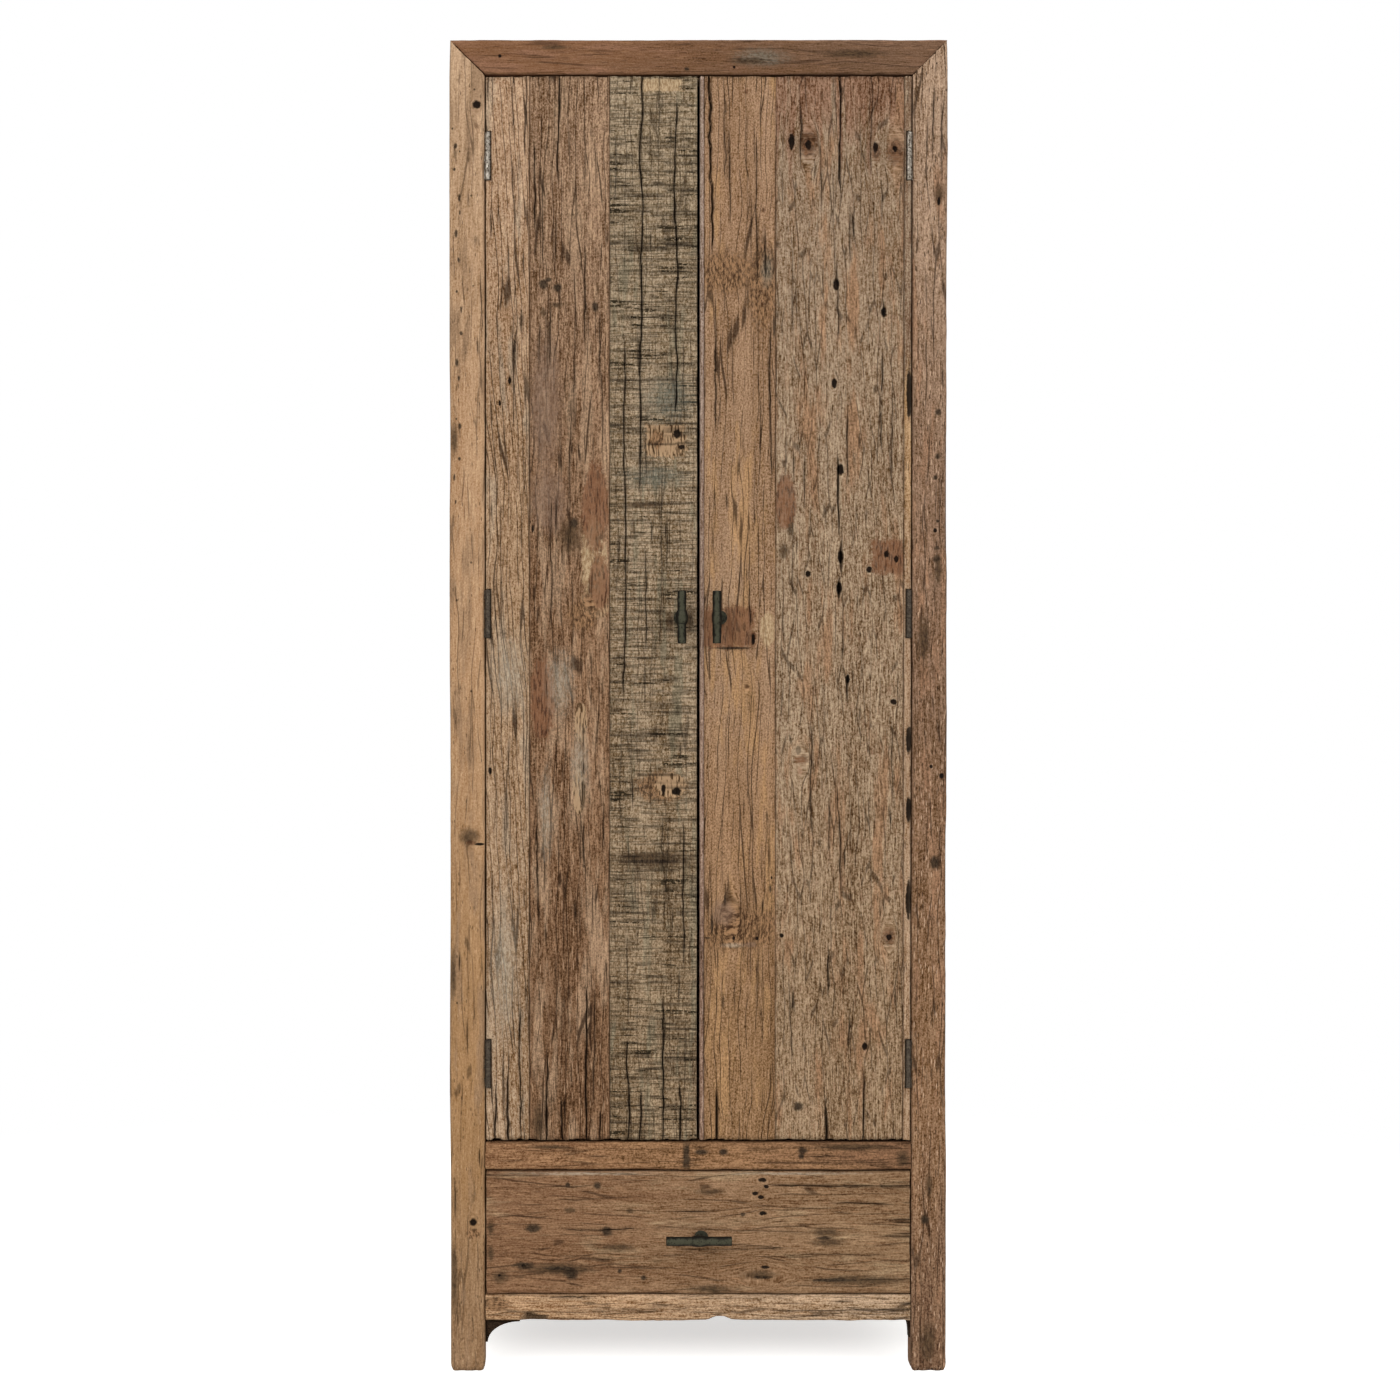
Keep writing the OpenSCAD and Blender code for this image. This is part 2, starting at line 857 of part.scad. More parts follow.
// A round bar along Z with rounded ends and a thicker collar, with the socket for its stem
module handle_bar(bar_l, bar_d, collar_l, collar_d) {
    r = bar_d / 2;
    arc = [for (a = [90 : -15 : 0])
        [r - bar_end_r + bar_end_r * cos(a), bar_l / 2 - bar_end_r + bar_end_r * sin(a)]];
    upper = concat([[0, bar_l / 2]], arc, [[r, collar_l / 2], [collar_d / 2, collar_l / 2]]);
    lower = [for (i = [len(upper) - 1 : -1 : 0]) [upper[i][0], -upper[i][1]]];
    difference() {
        rotate_extrude() polygon(concat(upper, lower));
        y_cylinder(0, 0, collar_d, 0, stem_d / 2);
    }
}

// The stem behind a bar: rose, neck and the shank in the wood, ending inside a collar
module handle_stem() {
    y_cylinder(0, front_y - handle_standoff, front_y, 0, stem_d / 2);
    y_cylinder(0, front_y - rose_t, front_y, 0, rose_d / 2);
    y_cylinder(0, front_y - 1, front_y + shank_l, 0, shank_d / 2);
}

module door_handle_bar() {
    translate([-handle_x, front_y - handle_standoff, handle_z])
        handle_bar(door_bar_l, door_bar_d, door_collar_l, door_collar_d);
}

module left_handle_bar() {
    color(iron) door_handle_bar();
}

module right_handle_bar() {
    color(iron) right_side() door_handle_bar();
}

module left_handle_stem() {
    color(iron) translate([-handle_x, 0, handle_z]) handle_stem();
}

module right_handle_stem() {
    color(iron) translate([handle_x, 0, handle_z]) handle_stem();
}

module drawer_handle_bar() {
    color(iron) translate([0, front_y - handle_standoff, drawer_handle_z]) rotate([0, 90, 0])
        handle_bar(drawer_bar_l, drawer_bar_d, drawer_collar_l, drawer_collar_d);
}

module drawer_handle_stem() {
    color(iron) translate([0, 0, drawer_handle_z]) handle_stem();
}

// ---- drawer ----

module drawer_front() {
    front_x = opening_x - drawer_side_gap;
    color(wood_brown) difference() {
        block(
            [-front_x, front_y, drawer_z + drawer_bottom_gap],
            [front_x, box_front_y, middle_z - drawer_top_gap]
        );
        y_cylinder(0, front_y - 1, front_y + shank_l, drawer_handle_z, shank_d / 2);
    }
}

module drawer_sides() {
    color(wood_inner) both_sides() difference() {
        block([-box_x, box_front_y, box_z], [-box_x + drawer_side_t, box_back_y, box_z + drawer_side_h]);
        block(
            [-box_x + drawer_side_t - groove_d, box_front_y - 1, panel_z],
            [-box_x + drawer_side_t + 1, box_back_y + 1, panel_top_z + groove_gap]
        );
    }
}

module drawer_back() {
    inside_x = box_x - drawer_side_t;
    color(wood_inner) block(
        [-inside_x, box_back_y - drawer_side_t, panel_top_z],
        [inside_x, box_back_y, box_z + drawer_side_h]
    );
}

module drawer_bottom() {
    reach = box_x - drawer_side_t + groove_d - groove_gap;
    color(wood_inner) block([-reach, box_front_y, panel_z], [reach, box_back_y, panel_top_z]);
}

front_post_left();
front_post_right();
back_post_left();
back_post_right();
top_rail();
middle_rail();
bottom_rail();
left_side_rails();
right_side_rails();
back_rails();
left_side_planks();
right_side_planks();
back_boards();  // back_planks
top_boards();  // top_planks
wardrobe_floor();
hat_shelf();
shelf_cleats();
hanging_rail();
hanging_rail_sockets();
drawer_runners();
drawer_guides();
drawer_stops();
left_foot_bracket();
right_foot_bracket();
door_stop();
magnetic_catches();
left_top_frame_leaf();
left_lower_frame_leaves();
right_top_frame_leaf();
right_lower_frame_leaves();
left_hinge_pins();
right_hinge_pins();
frame_hinge_screws();
left_door_outer_plank();
left_door_centre_plank();
left_door_inner_plank();
left_door_battens();
left_top_door_leaf();
left_lower_door_leaves();
left_door_screws();
left_handle_bar();
left_handle_stem();
left_strike_plate();
right_door_edge_strip();
right_door_inner_plank();
right_door_outer_plank();
right_door_hinge_strip();
right_door_battens();
right_top_door_leaf();
right_lower_door_leaves();
right_door_screws();
right_handle_bar();
right_handle_stem();
right_strike_plate();
drawer_front();
drawer_sides();
drawer_back();
drawer_bottom();
drawer_handle_bar();
drawer_handle_stem();
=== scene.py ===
"""The looks of a tall armoire of old wood with two plank doors and a drawer, made around its CAD frame."""

import logging
import math
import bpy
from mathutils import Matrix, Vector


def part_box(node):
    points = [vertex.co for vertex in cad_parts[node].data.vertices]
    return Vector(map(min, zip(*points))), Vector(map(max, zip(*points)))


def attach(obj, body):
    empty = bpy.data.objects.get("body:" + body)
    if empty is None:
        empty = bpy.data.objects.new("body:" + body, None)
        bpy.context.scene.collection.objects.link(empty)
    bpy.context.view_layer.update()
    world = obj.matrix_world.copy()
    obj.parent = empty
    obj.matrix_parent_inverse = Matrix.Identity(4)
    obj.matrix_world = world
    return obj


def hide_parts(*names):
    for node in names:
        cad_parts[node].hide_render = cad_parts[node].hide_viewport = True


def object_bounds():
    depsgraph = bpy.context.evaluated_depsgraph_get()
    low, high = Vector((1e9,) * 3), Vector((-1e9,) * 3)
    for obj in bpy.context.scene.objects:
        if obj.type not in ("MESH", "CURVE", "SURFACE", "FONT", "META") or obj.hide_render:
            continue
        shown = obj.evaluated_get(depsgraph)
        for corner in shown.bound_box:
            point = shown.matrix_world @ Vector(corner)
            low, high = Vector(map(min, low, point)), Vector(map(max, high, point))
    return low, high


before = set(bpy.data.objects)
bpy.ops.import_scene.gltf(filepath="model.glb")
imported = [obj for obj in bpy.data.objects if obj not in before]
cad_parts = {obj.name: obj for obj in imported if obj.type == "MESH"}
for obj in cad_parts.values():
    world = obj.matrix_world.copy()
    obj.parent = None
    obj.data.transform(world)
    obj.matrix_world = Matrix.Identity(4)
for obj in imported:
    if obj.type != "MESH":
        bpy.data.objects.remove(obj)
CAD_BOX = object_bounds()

import zlib
from collections.abc import Callable
from dataclasses import dataclass, field
from enum import Enum

import bpy
import numpy as np
from mathutils import Vector

logging.basicConfig(level=logging.INFO, format="%(message)s")
LOG = logging.getLogger("armoire")

MM = 0.001
WHITE = (1.0, 1.0, 1.0, 1.0)
# How a tone changes with the fibres: the hollows between them, their sides and raised splinters.
HOLLOW = (0.38, 0.31, 0.21, 1.0)
WARM = (1.02, 0.97, 0.88, 1.0)
RAISED = (1.3, 1.3, 1.28, 1.0)
# Dry wood sends back little gloss, whatever its roughness.
WOOD_IOR, WOOD_GLOSS = 1.45, 0.07
# A mark is painted on the front of its board and fades out between these two depths, in metres.
UNMARKED_Y, MARKED_Y = -0.238, -0.246
# The loose tongue between two boards: its thickness, and how far it reaches into each.
TONGUE_THICK, TONGUE_REACH = 4 * MM, 3 * MM
# How deep old dents and saw grooves are.
DENT, GROOVE = 0.8 * MM, 0.7 * MM
# Each board has its own place in the patterns, anywhere within this many metres.
GRAIN_SPREAD = 40
# How near copied points are merged, and the angles, in degrees, of flat faces and of edges to soften.
MERGED, FLAT_ANGLE, EDGE_ANGLE = 0.02 * MM, 1, 50
# Faces that meet at a smaller angle than this, in degrees, are shaded as one.
BOARD_ANGLE, IRON_ANGLE = 38, 45

Pair = tuple[float, float]
Colour = tuple[float, float, float, float]
Array = np.ndarray
Box = tuple[Array, Array]
Piece = bpy.types.Object
Material = bpy.types.Material
Node = bpy.types.Node
Socket = bpy.types.NodeSocket
Tree = bpy.types.NodeTree


# ---- colours and nodes


def linear(colour: str) -> Colour:
    """Turn an sRGB hex colour into the linear red, green, blue and alpha that shaders use."""
    parts = [int(colour[i : i + 2], 16) / 255 for i in (1, 3, 5)]
    return (*(p / 12.92 if p <= 0.04045 else ((p + 0.055) / 1.055) ** 2.4 for p in parts), 1.0)


def brighter(colour: Colour, share: float) -> Colour:
    """Make a linear colour darker or lighter by a share, and at most white."""
    return (*(min(1.0, share * part) for part in colour[:3]), colour[3])


def add_node(tree: Tree, kind: str, inputs: dict | None = None, **settings: object) -> Node:
    """Add a node with its settings, its input values and the links into it.

    Args:
        tree: The node tree that gets the node.
        kind: The node's Blender type, without the ShaderNode prefix.
        inputs: For each input, by name or number: a value, a socket, or a node for its first output.
        settings: The node's own properties.

    Returns:
        The new node.
    """
    node = tree.nodes.new(f"ShaderNode{kind}")
    for name, value in settings.items():
        setattr(node, name, value)
    for name, value in (inputs or {}).items():
        if isinstance(value, Node):
            value = value.outputs[0]
        if isinstance(value, Socket):
            tree.links.new(value, node.inputs[name])
        else:
            node.inputs[name].default_value = value
    return node


def new_material(name: str) -> tuple[Material, Tree]:
    """Make an empty node material and give it with its node tree.

    Args:
        name: The material's name.

    Returns:
        The material and its node tree.
    """
    material = bpy.data.materials.new(name)
    material.use_nodes = True
    material.node_tree.nodes.clear()
    return material, material.node_tree


# ---- marks on old wood


class MarkKind(Enum):
    """A mark on old wood: its dark and its light colour, how much wood it hides and how soft its rim is."""

    HOLE = ("#0e0805", "#1c120b", 0.98, 0.3)
    STAIN = ("#241b13", "#45382b", 0.93, 0.55)
    FADED = ("#33271c", "#57432f", 0.86, 0.75)
    KNOT = ("#452c1c", "#7c573e", 0.82, 0.6)
    ROUGH = ("#402a1a", "#a17b58", 0.85, 0.4)
    RED = ("#4c2f21", "#82593f", 0.78, 0.2)
    MAUVE = ("#6c5343", "#8d7462", 0.6, 0.5)
    PALE = ("#9a7d5b", "#c8ad89", 0.85, 0.2)
    CHALK = ("#8c7b66", "#bfb19c", 0.55, 0.9)
    PAINT = ("#494e45", "#7d8175", 0.5, 0.9)
    CUT = ("#4a341f", "#b29270", 0.96, 0.08)


HOLE, STAIN, FADED, KNOT, ROUGH, RED, MAUVE, PALE, CHALK, PAINT, CUT = MarkKind


@dataclass(frozen=True)
class Mark:
    """A knot, hole, stain or patch on a board's face, pressed in where it has a depth.

    Its place and sizes are in millimetres in the object's own frame: x and z on the front.
    """

    kind: MarkKind
    x: float
    z: float
    width: float
    height: float
    depth: float = 0.0
    square: bool = False

    def spot(self) -> Array:
        """Give the mark's middle as a point in metres, with no depth."""
        return np.array((self.x, 0.0, self.z)) * MM


@dataclass(frozen=True)
class Crack:
    """A drying crack along the grain, in millimetres: its place across the board and its two ends."""

    across: float
    start: float
    end: float
    width: float = 2.0
    depth: float = 5.0
    wander: float = 3.0


def marks_of(*rows: tuple) -> tuple[Mark, ...]:
    """Make marks from rows of a kind, x, z, width, height and, where needed, depth and squareness."""
    return tuple(Mark(*row) for row in rows)


def cracks_of(*rows: tuple) -> tuple[Crack, ...]:
    """Make cracks from rows of a place across, a start, an end and, where needed, width, depth and wander."""
    return tuple(Crack(*row) for row in rows)


# ---- kinds of finish


@dataclass(frozen=True)
class Finish:
    """A finish that builds its own material around one shader."""

    name: str

    def surface(self, tree: Tree) -> dict[str, object]:
        """Add the finish's nodes and give the shader's inputs; each kind of finish has its own."""
        raise NotImplementedError

    def build(self) -> Material:
        """Build the material.

        Returns:
            The finished material.
        """
        material, tree = new_material(self.name)
        shader = add_node(tree, "BsdfPrincipled", self.surface(tree))
        add_node(tree, "OutputMaterial", {"Surface": shader})
        return material


@dataclass(frozen=True)
class Tone:
    """The wood's colours at one place along a board, for its dark, its middle and its raised fibres."""

    at: float
    deep: str
    middle: str
    pale: str


@dataclass(frozen=True)
class OldWood(Finish):
    """Reclaimed tropical hardwood, sawn long ago, weathered and brushed, with no varnish.

    To the eye it is matt, with dark fibres in thin broken streaks along the grain, paler worn ridges
    between them, slow changes of tone from board to board and near-black cracks and nail holes.
    A pair of sizes is across and along the grain in millimetres. A gain is how strongly a pattern shows.
    """

    tones: tuple[Tone, ...]
    streak: Pair = (4.0, 90.0)
    streak_gain: float = 0.8
    broad_gain: float = 0.5
    fibre_gain: float = 1.15
    grit_gain: float = 1.5
    dash: Pair = (2.4, 26.0)
    dash_gain: float = 0.65
    dash_share: float = 0.3
    fleck_gain: float = 0.45
    line: Pair = (16.0, 420.0)
    line_width: float = 1.8
    line_gain: float = 0.6
    line_wander: float = 26.0
    line_breaks: Pair = (0.46, 0.56)
    saw_gain: float = 0.0
    speck_spacing: float = 0.0
    second: str = ""
    second_share: float = 0.0
    marks: tuple[Mark, ...] = ()
    rough: float = 0.72
    bump: float = 0.9

    def scaled(self, tree: Tree, across: float, along: float) -> Socket:
        """Scale the grain coordinates so that one unit is a pattern's real size.

        Args:
            tree: The material's nodes.
            across: The size across the grain, in millimetres.
            along: The size along it.

        Returns:
            The scaled coordinates.
        """
        grain = add_node(tree, "Attribute", attribute_name="grain").outputs["Vector"]
        sizes = (1 / (across * MM), 1 / (across * MM), 1 / (along * MM))
        return add_node(tree, "VectorMath", {0: grain, 1: sizes}, operation="MULTIPLY").outputs[0]

    def pattern(self, tree: Tree, across: float, along: float, detail: float) -> Socket:
        """Lay noise near 0.5, with its sizes across and along the grain in millimetres and its detail."""
        place = {"Vector": self.scaled(tree, across, along), "Scale": 1.0}
        return add_node(tree, "TexNoise", place | {"Detail": detail, "Roughness": 0.72}).outputs["Fac"]

    def between(self, tree: Tree, value: Socket, low: float, high: float, top: float = 1.0) -> Socket:
        """Turn a value's low and high limit into 0 and a top strength, with a soft step.

        Args:
            tree: The material's nodes.
            value: The value.
            low: Where the result starts to rise.
            high: Where it has risen; below the low limit it falls instead.
            top: The strength there.

        Returns:
            The stepped value.
        """
        ends = {"Value": value, "From Min": min(low, high), "From Max": max(low, high)}
        ends |= {"To Min": 0.0, "To Max": top} if high > low else {"To Min": top, "To Max": 0.0}
        return add_node(tree, "MapRange", ends, interpolation_type="SMOOTHSTEP").outputs[0]

    def both(self, tree: Tree, *strengths: Socket) -> Socket:
        """Let a pattern show only where all of several strengths do.

        Args:
            tree: The material's nodes.
            strengths: The strengths.

        Returns:
            Their product.
        """
        result = strengths[0]
        for strength in strengths[1:]:
            result = add_node(tree, "Math", {0: result, 1: strength}, operation="MULTIPLY").outputs[0]
        return result

    def laid(self, tree: Tree, colour: Socket, layers: list[tuple]) -> Socket:
        """Lay colours over each other.

        Args:
            tree: The material's nodes.
            colour: The lowest colour.
            layers: A colour, or its socket, and the share of it that shows, from the lowest layer up.

        Returns:
            The colour on top.
        """
        for over, share in layers:
            node = add_node(tree, "Mix", {"Factor": share, 6: colour, 7: over}, data_type="RGBA")
            colour = node.outputs[2]
        return colour

    def shade(self, tree: Tree) -> Socket:
        """Add up the slow tones, the streaks and the fibres into one value, where 0.5 is the middle tone.

        Args:
            tree: The material's nodes.

        Returns:
            The value that picks the wood's colour.
        """
        layers = (
            (self.pattern(tree, 70.0, 700.0, 2.0), self.broad_gain),
            (self.pattern(tree, *self.streak, 4.0), self.streak_gain),
            (self.pattern(tree, 2.0, 24.0, 2.0), self.fibre_gain),
            (self.pattern(tree, 2.6, 3.4, 2.0), self.grit_gain),
        )
        total = 0.5 - 0.5 * sum(gain for _, gain in layers)
        for value, gain in layers:
            total = add_node(tree, "Math", {0: value, 1: gain, 2: total}, operation="MULTIPLY_ADD")
        return total.outputs[0]

    def lines(self, tree: Tree) -> Socket:
        """Draw the long thin drying checks, which run with the grain, meet and part again, and break off.

        Args:
            tree: The material's nodes.

        Returns:
            The lines' strength.
        """
        grain = add_node(tree, "Attribute", attribute_name="grain").outputs["Vector"]
        across = add_node(tree, "VectorMath", {0: grain, 1: (1, 1, 0)}, operation="DOT_PRODUCT").outputs[1]
        waves = {0: self.pattern(tree, 60.0, 170.0, 1.0), 1: self.line_wander * MM, 2: across}
        bent = add_node(tree, "Math", waves, operation="MULTIPLY_ADD")
        along = add_node(tree, "SeparateXYZ", {0: grain}).outputs["Z"]
        flat = add_node(tree, "CombineXYZ", {"X": bent, "Y": along})
        sizes = (1 / (self.line[0] * MM), 1 / (self.line[1] * MM), 0)
        fitted = add_node(tree, "VectorMath", {0: flat, 1: sizes}, operation="MULTIPLY")
        edges = {"voronoi_dimensions": "2D", "feature": "DISTANCE_TO_EDGE"}
        cells = add_node(tree, "TexVoronoi", {"Vector": fitted, "Scale": 1.0}, **edges)
        half = self.line_width / self.line[0]
        line = self.between(tree, cells.outputs["Distance"], 0.5 * half, 0.15 * half, self.line_gain)
        unbroken = self.between(tree, self.pattern(tree, 11.0, 120.0, 1.0), *self.line_breaks)
        return self.both(tree, line, unbroken)

    def dashes(self, tree: Tree) -> tuple[Socket, Socket]:
        """Scatter short thin checks along the grain, and pale flecks where the fibres are rubbed up.

        Args:
            tree: The material's nodes.

        Returns:
            The strength of the dark checks and of the pale flecks.
        """
        cells = add_node(tree, "TexVoronoi", {"Vector": self.scaled(tree, *self.dash), "Scale": 1.0})
        check = self.between(tree, cells.outputs["Distance"], 0.36, 0.2)
        chance = add_node(tree, "SeparateColor", {0: cells.outputs["Color"]}).outputs[0]
        dark = self.between(tree, chance, 1.0 - self.dash_share, 1.1 - self.dash_share, self.dash_gain)
        pale = self.between(tree, chance, 0.3, 0.2, self.fleck_gain)
        return self.both(tree, check, dark), self.both(tree, check, pale)

    def saw_marks(self, tree: Tree) -> Socket:
        """Draw the dark bands that an old saw left across the grain, and the fine weave between them.

        Args:
            tree: The material's nodes.

        Returns:
            The bands' strength.
        """
        band = self.between(tree, self.pattern(tree, 110.0, 7.0, 2.0), 0.57, 0.64, self.saw_gain)
        broken = self.between(tree, self.pattern(tree, 5.0, 4.0, 2.0), 0.36, 0.5)
        zone = self.between(tree, self.pattern(tree, 70.0, 80.0, 1.0), 0.38, 0.5)
        weave = self.between(tree, self.pattern(tree, 40.0, 2.4, 1.0), 0.48, 0.62, 0.55 * self.saw_gain)
        strong = self.both(tree, band, broken, zone)
        return add_node(tree, "Math", {0: strong, 1: weave}, operation="MAXIMUM").outputs[0]

    def specks(self, tree: Tree) -> Socket:
        """Scatter the small dark dots of old nails and worm holes.

        Args:
            tree: The material's nodes.

        Returns:
            The dots' strength.
        """
        spread = {"Vector": self.scaled(tree, self.speck_spacing, 1.3 * self.speck_spacing), "Scale": 1.0}
        dots = add_node(tree, "TexVoronoi", spread)
        chance = add_node(tree, "SeparateColor", {0: dots.outputs["Color"]})
        # The dots are from 2 to 7 mm wide, and two cells in five hold one.
        small, large = 1.0 / self.speck_spacing, 3.4 / self.speck_spacing
        wide = add_node(tree, "MapRange", {"Value": chance.outputs[1], "To Min": small, "To Max": large})
        share = add_node(tree, "Math", {0: dots.outputs["Distance"], 1: wide}, operation="DIVIDE").outputs[0]
        dot = self.between(tree, share, 1.1, 0.5, 0.85)
        return self.both(tree, dot, self.between(tree, chance.outputs[0], 0.55, 0.62))

    def toned(self, tree: Tree, shade: Socket) -> Socket:
        """Colour the shade from the board's tones, blending from one to the next along it.

        Args:
            tree: The material's nodes.
            shade: The value that picks the colour.

        Returns:
            The wood's colour.
        """
        layers, before = [], None
        if len(self.tones) > 1:
            place = add_node(tree, "Attribute", attribute_name="place").outputs["Fac"]
            waves = {0: self.pattern(tree, 14.0, 160.0, 1.0), 1: 400.0, 2: place}
            wavy = add_node(tree, "Math", waves, operation="MULTIPLY_ADD")
        for tone in self.tones:
            ramp = add_node(tree, "ValToRGB", {"Fac": shade})
            stops = ramp.color_ramp.elements
            deep, pale = linear(tone.deep), linear(tone.pale)
            stops[0].position, stops[0].color = 0.3, [part * share for part, share in zip(deep, WARM)]
            stops[1].position, stops[1].color = 0.5, linear(tone.middle)
            for position, colours, shares in ((0.1, deep, HOLLOW), (0.68, pale, WHITE), (0.88, pale, RAISED)):
                stops.new(position).color = [part * share for part, share in zip(colours, shares)]
            share = None
            if before:
                # The waves add 200 mm in the middle, so that the two places move up by as much.
                ends = {"Value": wavy, "From Min": before.at + 200.0, "From Max": tone.at + 200.0}
                share = add_node(tree, "MapRange", ends, interpolation_type="SMOOTHSTEP")
            layers.append((ramp, share))
            before = tone
        return self.laid(tree, layers[0][0].outputs["Color"], layers[1:])

    def marked(self, tree: Tree, bare: Socket) -> Socket:
        """Paint the board's own marks at their places, each mottled and with an uneven rim.

        Args:
            tree: The material's nodes.
            bare: The wood's colour below them.

        Returns:
            The colour with the marks.
        """
        spot = add_node(tree, "TexCoord").outputs["Object"]
        uneven = {"Vector": spot, "Scale": 1 / (8 * MM), "Detail": 4.0, "Roughness": 0.75}
        shift = {0: add_node(tree, "TexNoise", uneven).outputs["Color"], 1: (-0.5, -0.5, -0.5)}
        centred = add_node(tree, "VectorMath", shift, operation="ADD")
        mottle = self.between(tree, self.pattern(tree, 2.6, 8.0, 3.0), 0.4, 0.6)
        # Cuts across the fibres show as strokes at a slant.
        slant = add_node(tree, "Mapping", {0: spot, 2: (0, 0.9, 0), 3: (1 / (3 * MM), 1.0, 1 / (16 * MM))})
        cuts = add_node(tree, "TexNoise", {"Vector": slant, "Scale": 1.0, "Detail": 3.0}).outputs["Fac"]
        strokes = self.between(tree, cuts, 0.38, 0.5)
        tints, layers = {}, []
        for mark in self.marks:
            deep, pale, cover, soft = mark.kind.value
            if mark.kind not in tints:
                share = strokes if mark.kind in (CUT, RED) else mottle
                tint = {"Factor": share, 6: linear(deep), 7: linear(pale)}
                tints[mark.kind] = add_node(tree, "Mix", tint, data_type="RGBA").outputs[2]
            half = np.array((mark.width, 1.0, mark.height)) * MM * (0.6 if mark.kind is HOLE else 0.52)
            reach = add_node(tree, "VectorMath", {0: centred, 1: tuple(1.1 * half)}, operation="MULTIPLY")
            flat = (1 / half[0], 0.0, 1 / half[2])
            for operation, value in (("ADD", spot), ("SUBTRACT", tuple(mark.spot())), ("MULTIPLY", flat)):
                reach = add_node(tree, "VectorMath", {0: reach, 1: value}, operation=operation)
            if mark.square:
                sides = add_node(tree, "VectorMath", {0: reach}, operation="ABSOLUTE")
                split = add_node(tree, "SeparateXYZ", {0: sides}).outputs
                distance = add_node(tree, "Math", {0: split[0], 1: split[2]}, operation="MAXIMUM").outputs[0]
            else:
                distance = add_node(tree, "VectorMath", {0: reach}, operation="LENGTH").outputs["Value"]
            shown = self.between(tree, distance, 1.0 + 0.4 * soft, 1.0 - soft, cover)
            layers.append((tints[mark.kind], shown))
        # A mark belongs to the front of its board and doesn't come out at the back.
        depth = add_node(tree, "SeparateXYZ", {0: spot}).outputs["Y"]
        front = self.between(tree, depth, UNMARKED_Y, MARKED_Y)
        return self.laid(tree, bare, [(self.laid(tree, bare, layers), front)])

    def surface(self, tree: Tree) -> dict[str, object]:
        """Lay tones, patches, checks, marks and wear over each other, and give the shader's inputs.

        Args:
            tree: The material's nodes.

        Returns:
            The shader's inputs.
        """
        shade = self.shade(tree)
        line = self.lines(tree)
        checks, flecks = self.dashes(tree)
        dark, pale = linear("#26160b"), linear(self.tones[0].pale)
        layers = [(brighter(pale, 1.35), flecks), (dark, checks), (dark, line)]
        if self.second:
            patch = self.pattern(tree, 34.0, 210.0, 3.0)
            rim = (0.62 - 0.3 * self.second_share, 0.72 - 0.2 * self.second_share)
            share = self.between(tree, patch, *rim, 0.75)
            shaded = add_node(tree, "ValToRGB", {"Fac": shade})
            for stop, light in zip(shaded.color_ramp.elements, (0.3, 1.7)):
                stop.color = brighter(linear(self.second), light)
            layers.insert(0, (shaded, share))
        if self.saw_gain:
            layers.append((linear("#2c2417"), self.saw_marks(tree)))
        if self.speck_spacing:
            layers.append((linear("#33251a"), self.specks(tree)))
        colour = self.laid(tree, self.toned(tree, shade), layers)
        if self.marks:
            colour = self.marked(tree, colour)
        # The age colour's red share darkens the wood with dirt and with painted shade in cracks, rebates,
        # chips and broken ends; its green share rubs it pale.
        age = add_node(tree, "Attribute", attribute_name="age").outputs["Color"]
        dirt_and_shade, wear = add_node(tree, "SeparateColor", {0: age}).outputs[:2]
        rubbed = add_node(tree, "Math", {0: wear, 1: 0.45}, operation="MULTIPLY")
        height = add_node(tree, "Math", {0: line, 1: -0.8, 2: shade}, operation="MULTIPLY_ADD")
        relief = {"Height": height, "Strength": self.bump, "Distance": 1.2 * MM}
        rough = {"Value": shade, "To Min": self.rough + 0.12, "To Max": self.rough - 0.08}
        return {
            "Base Color": self.laid(tree, colour, [(pale, rubbed), (linear("#150e09"), dirt_and_shade)]),
            "Roughness": add_node(tree, "MapRange", rough),
            "Normal": add_node(tree, "Bump", relief),
            "IOR": WOOD_IOR,
            "Specular IOR Level": WOOD_GLOSS,
        }


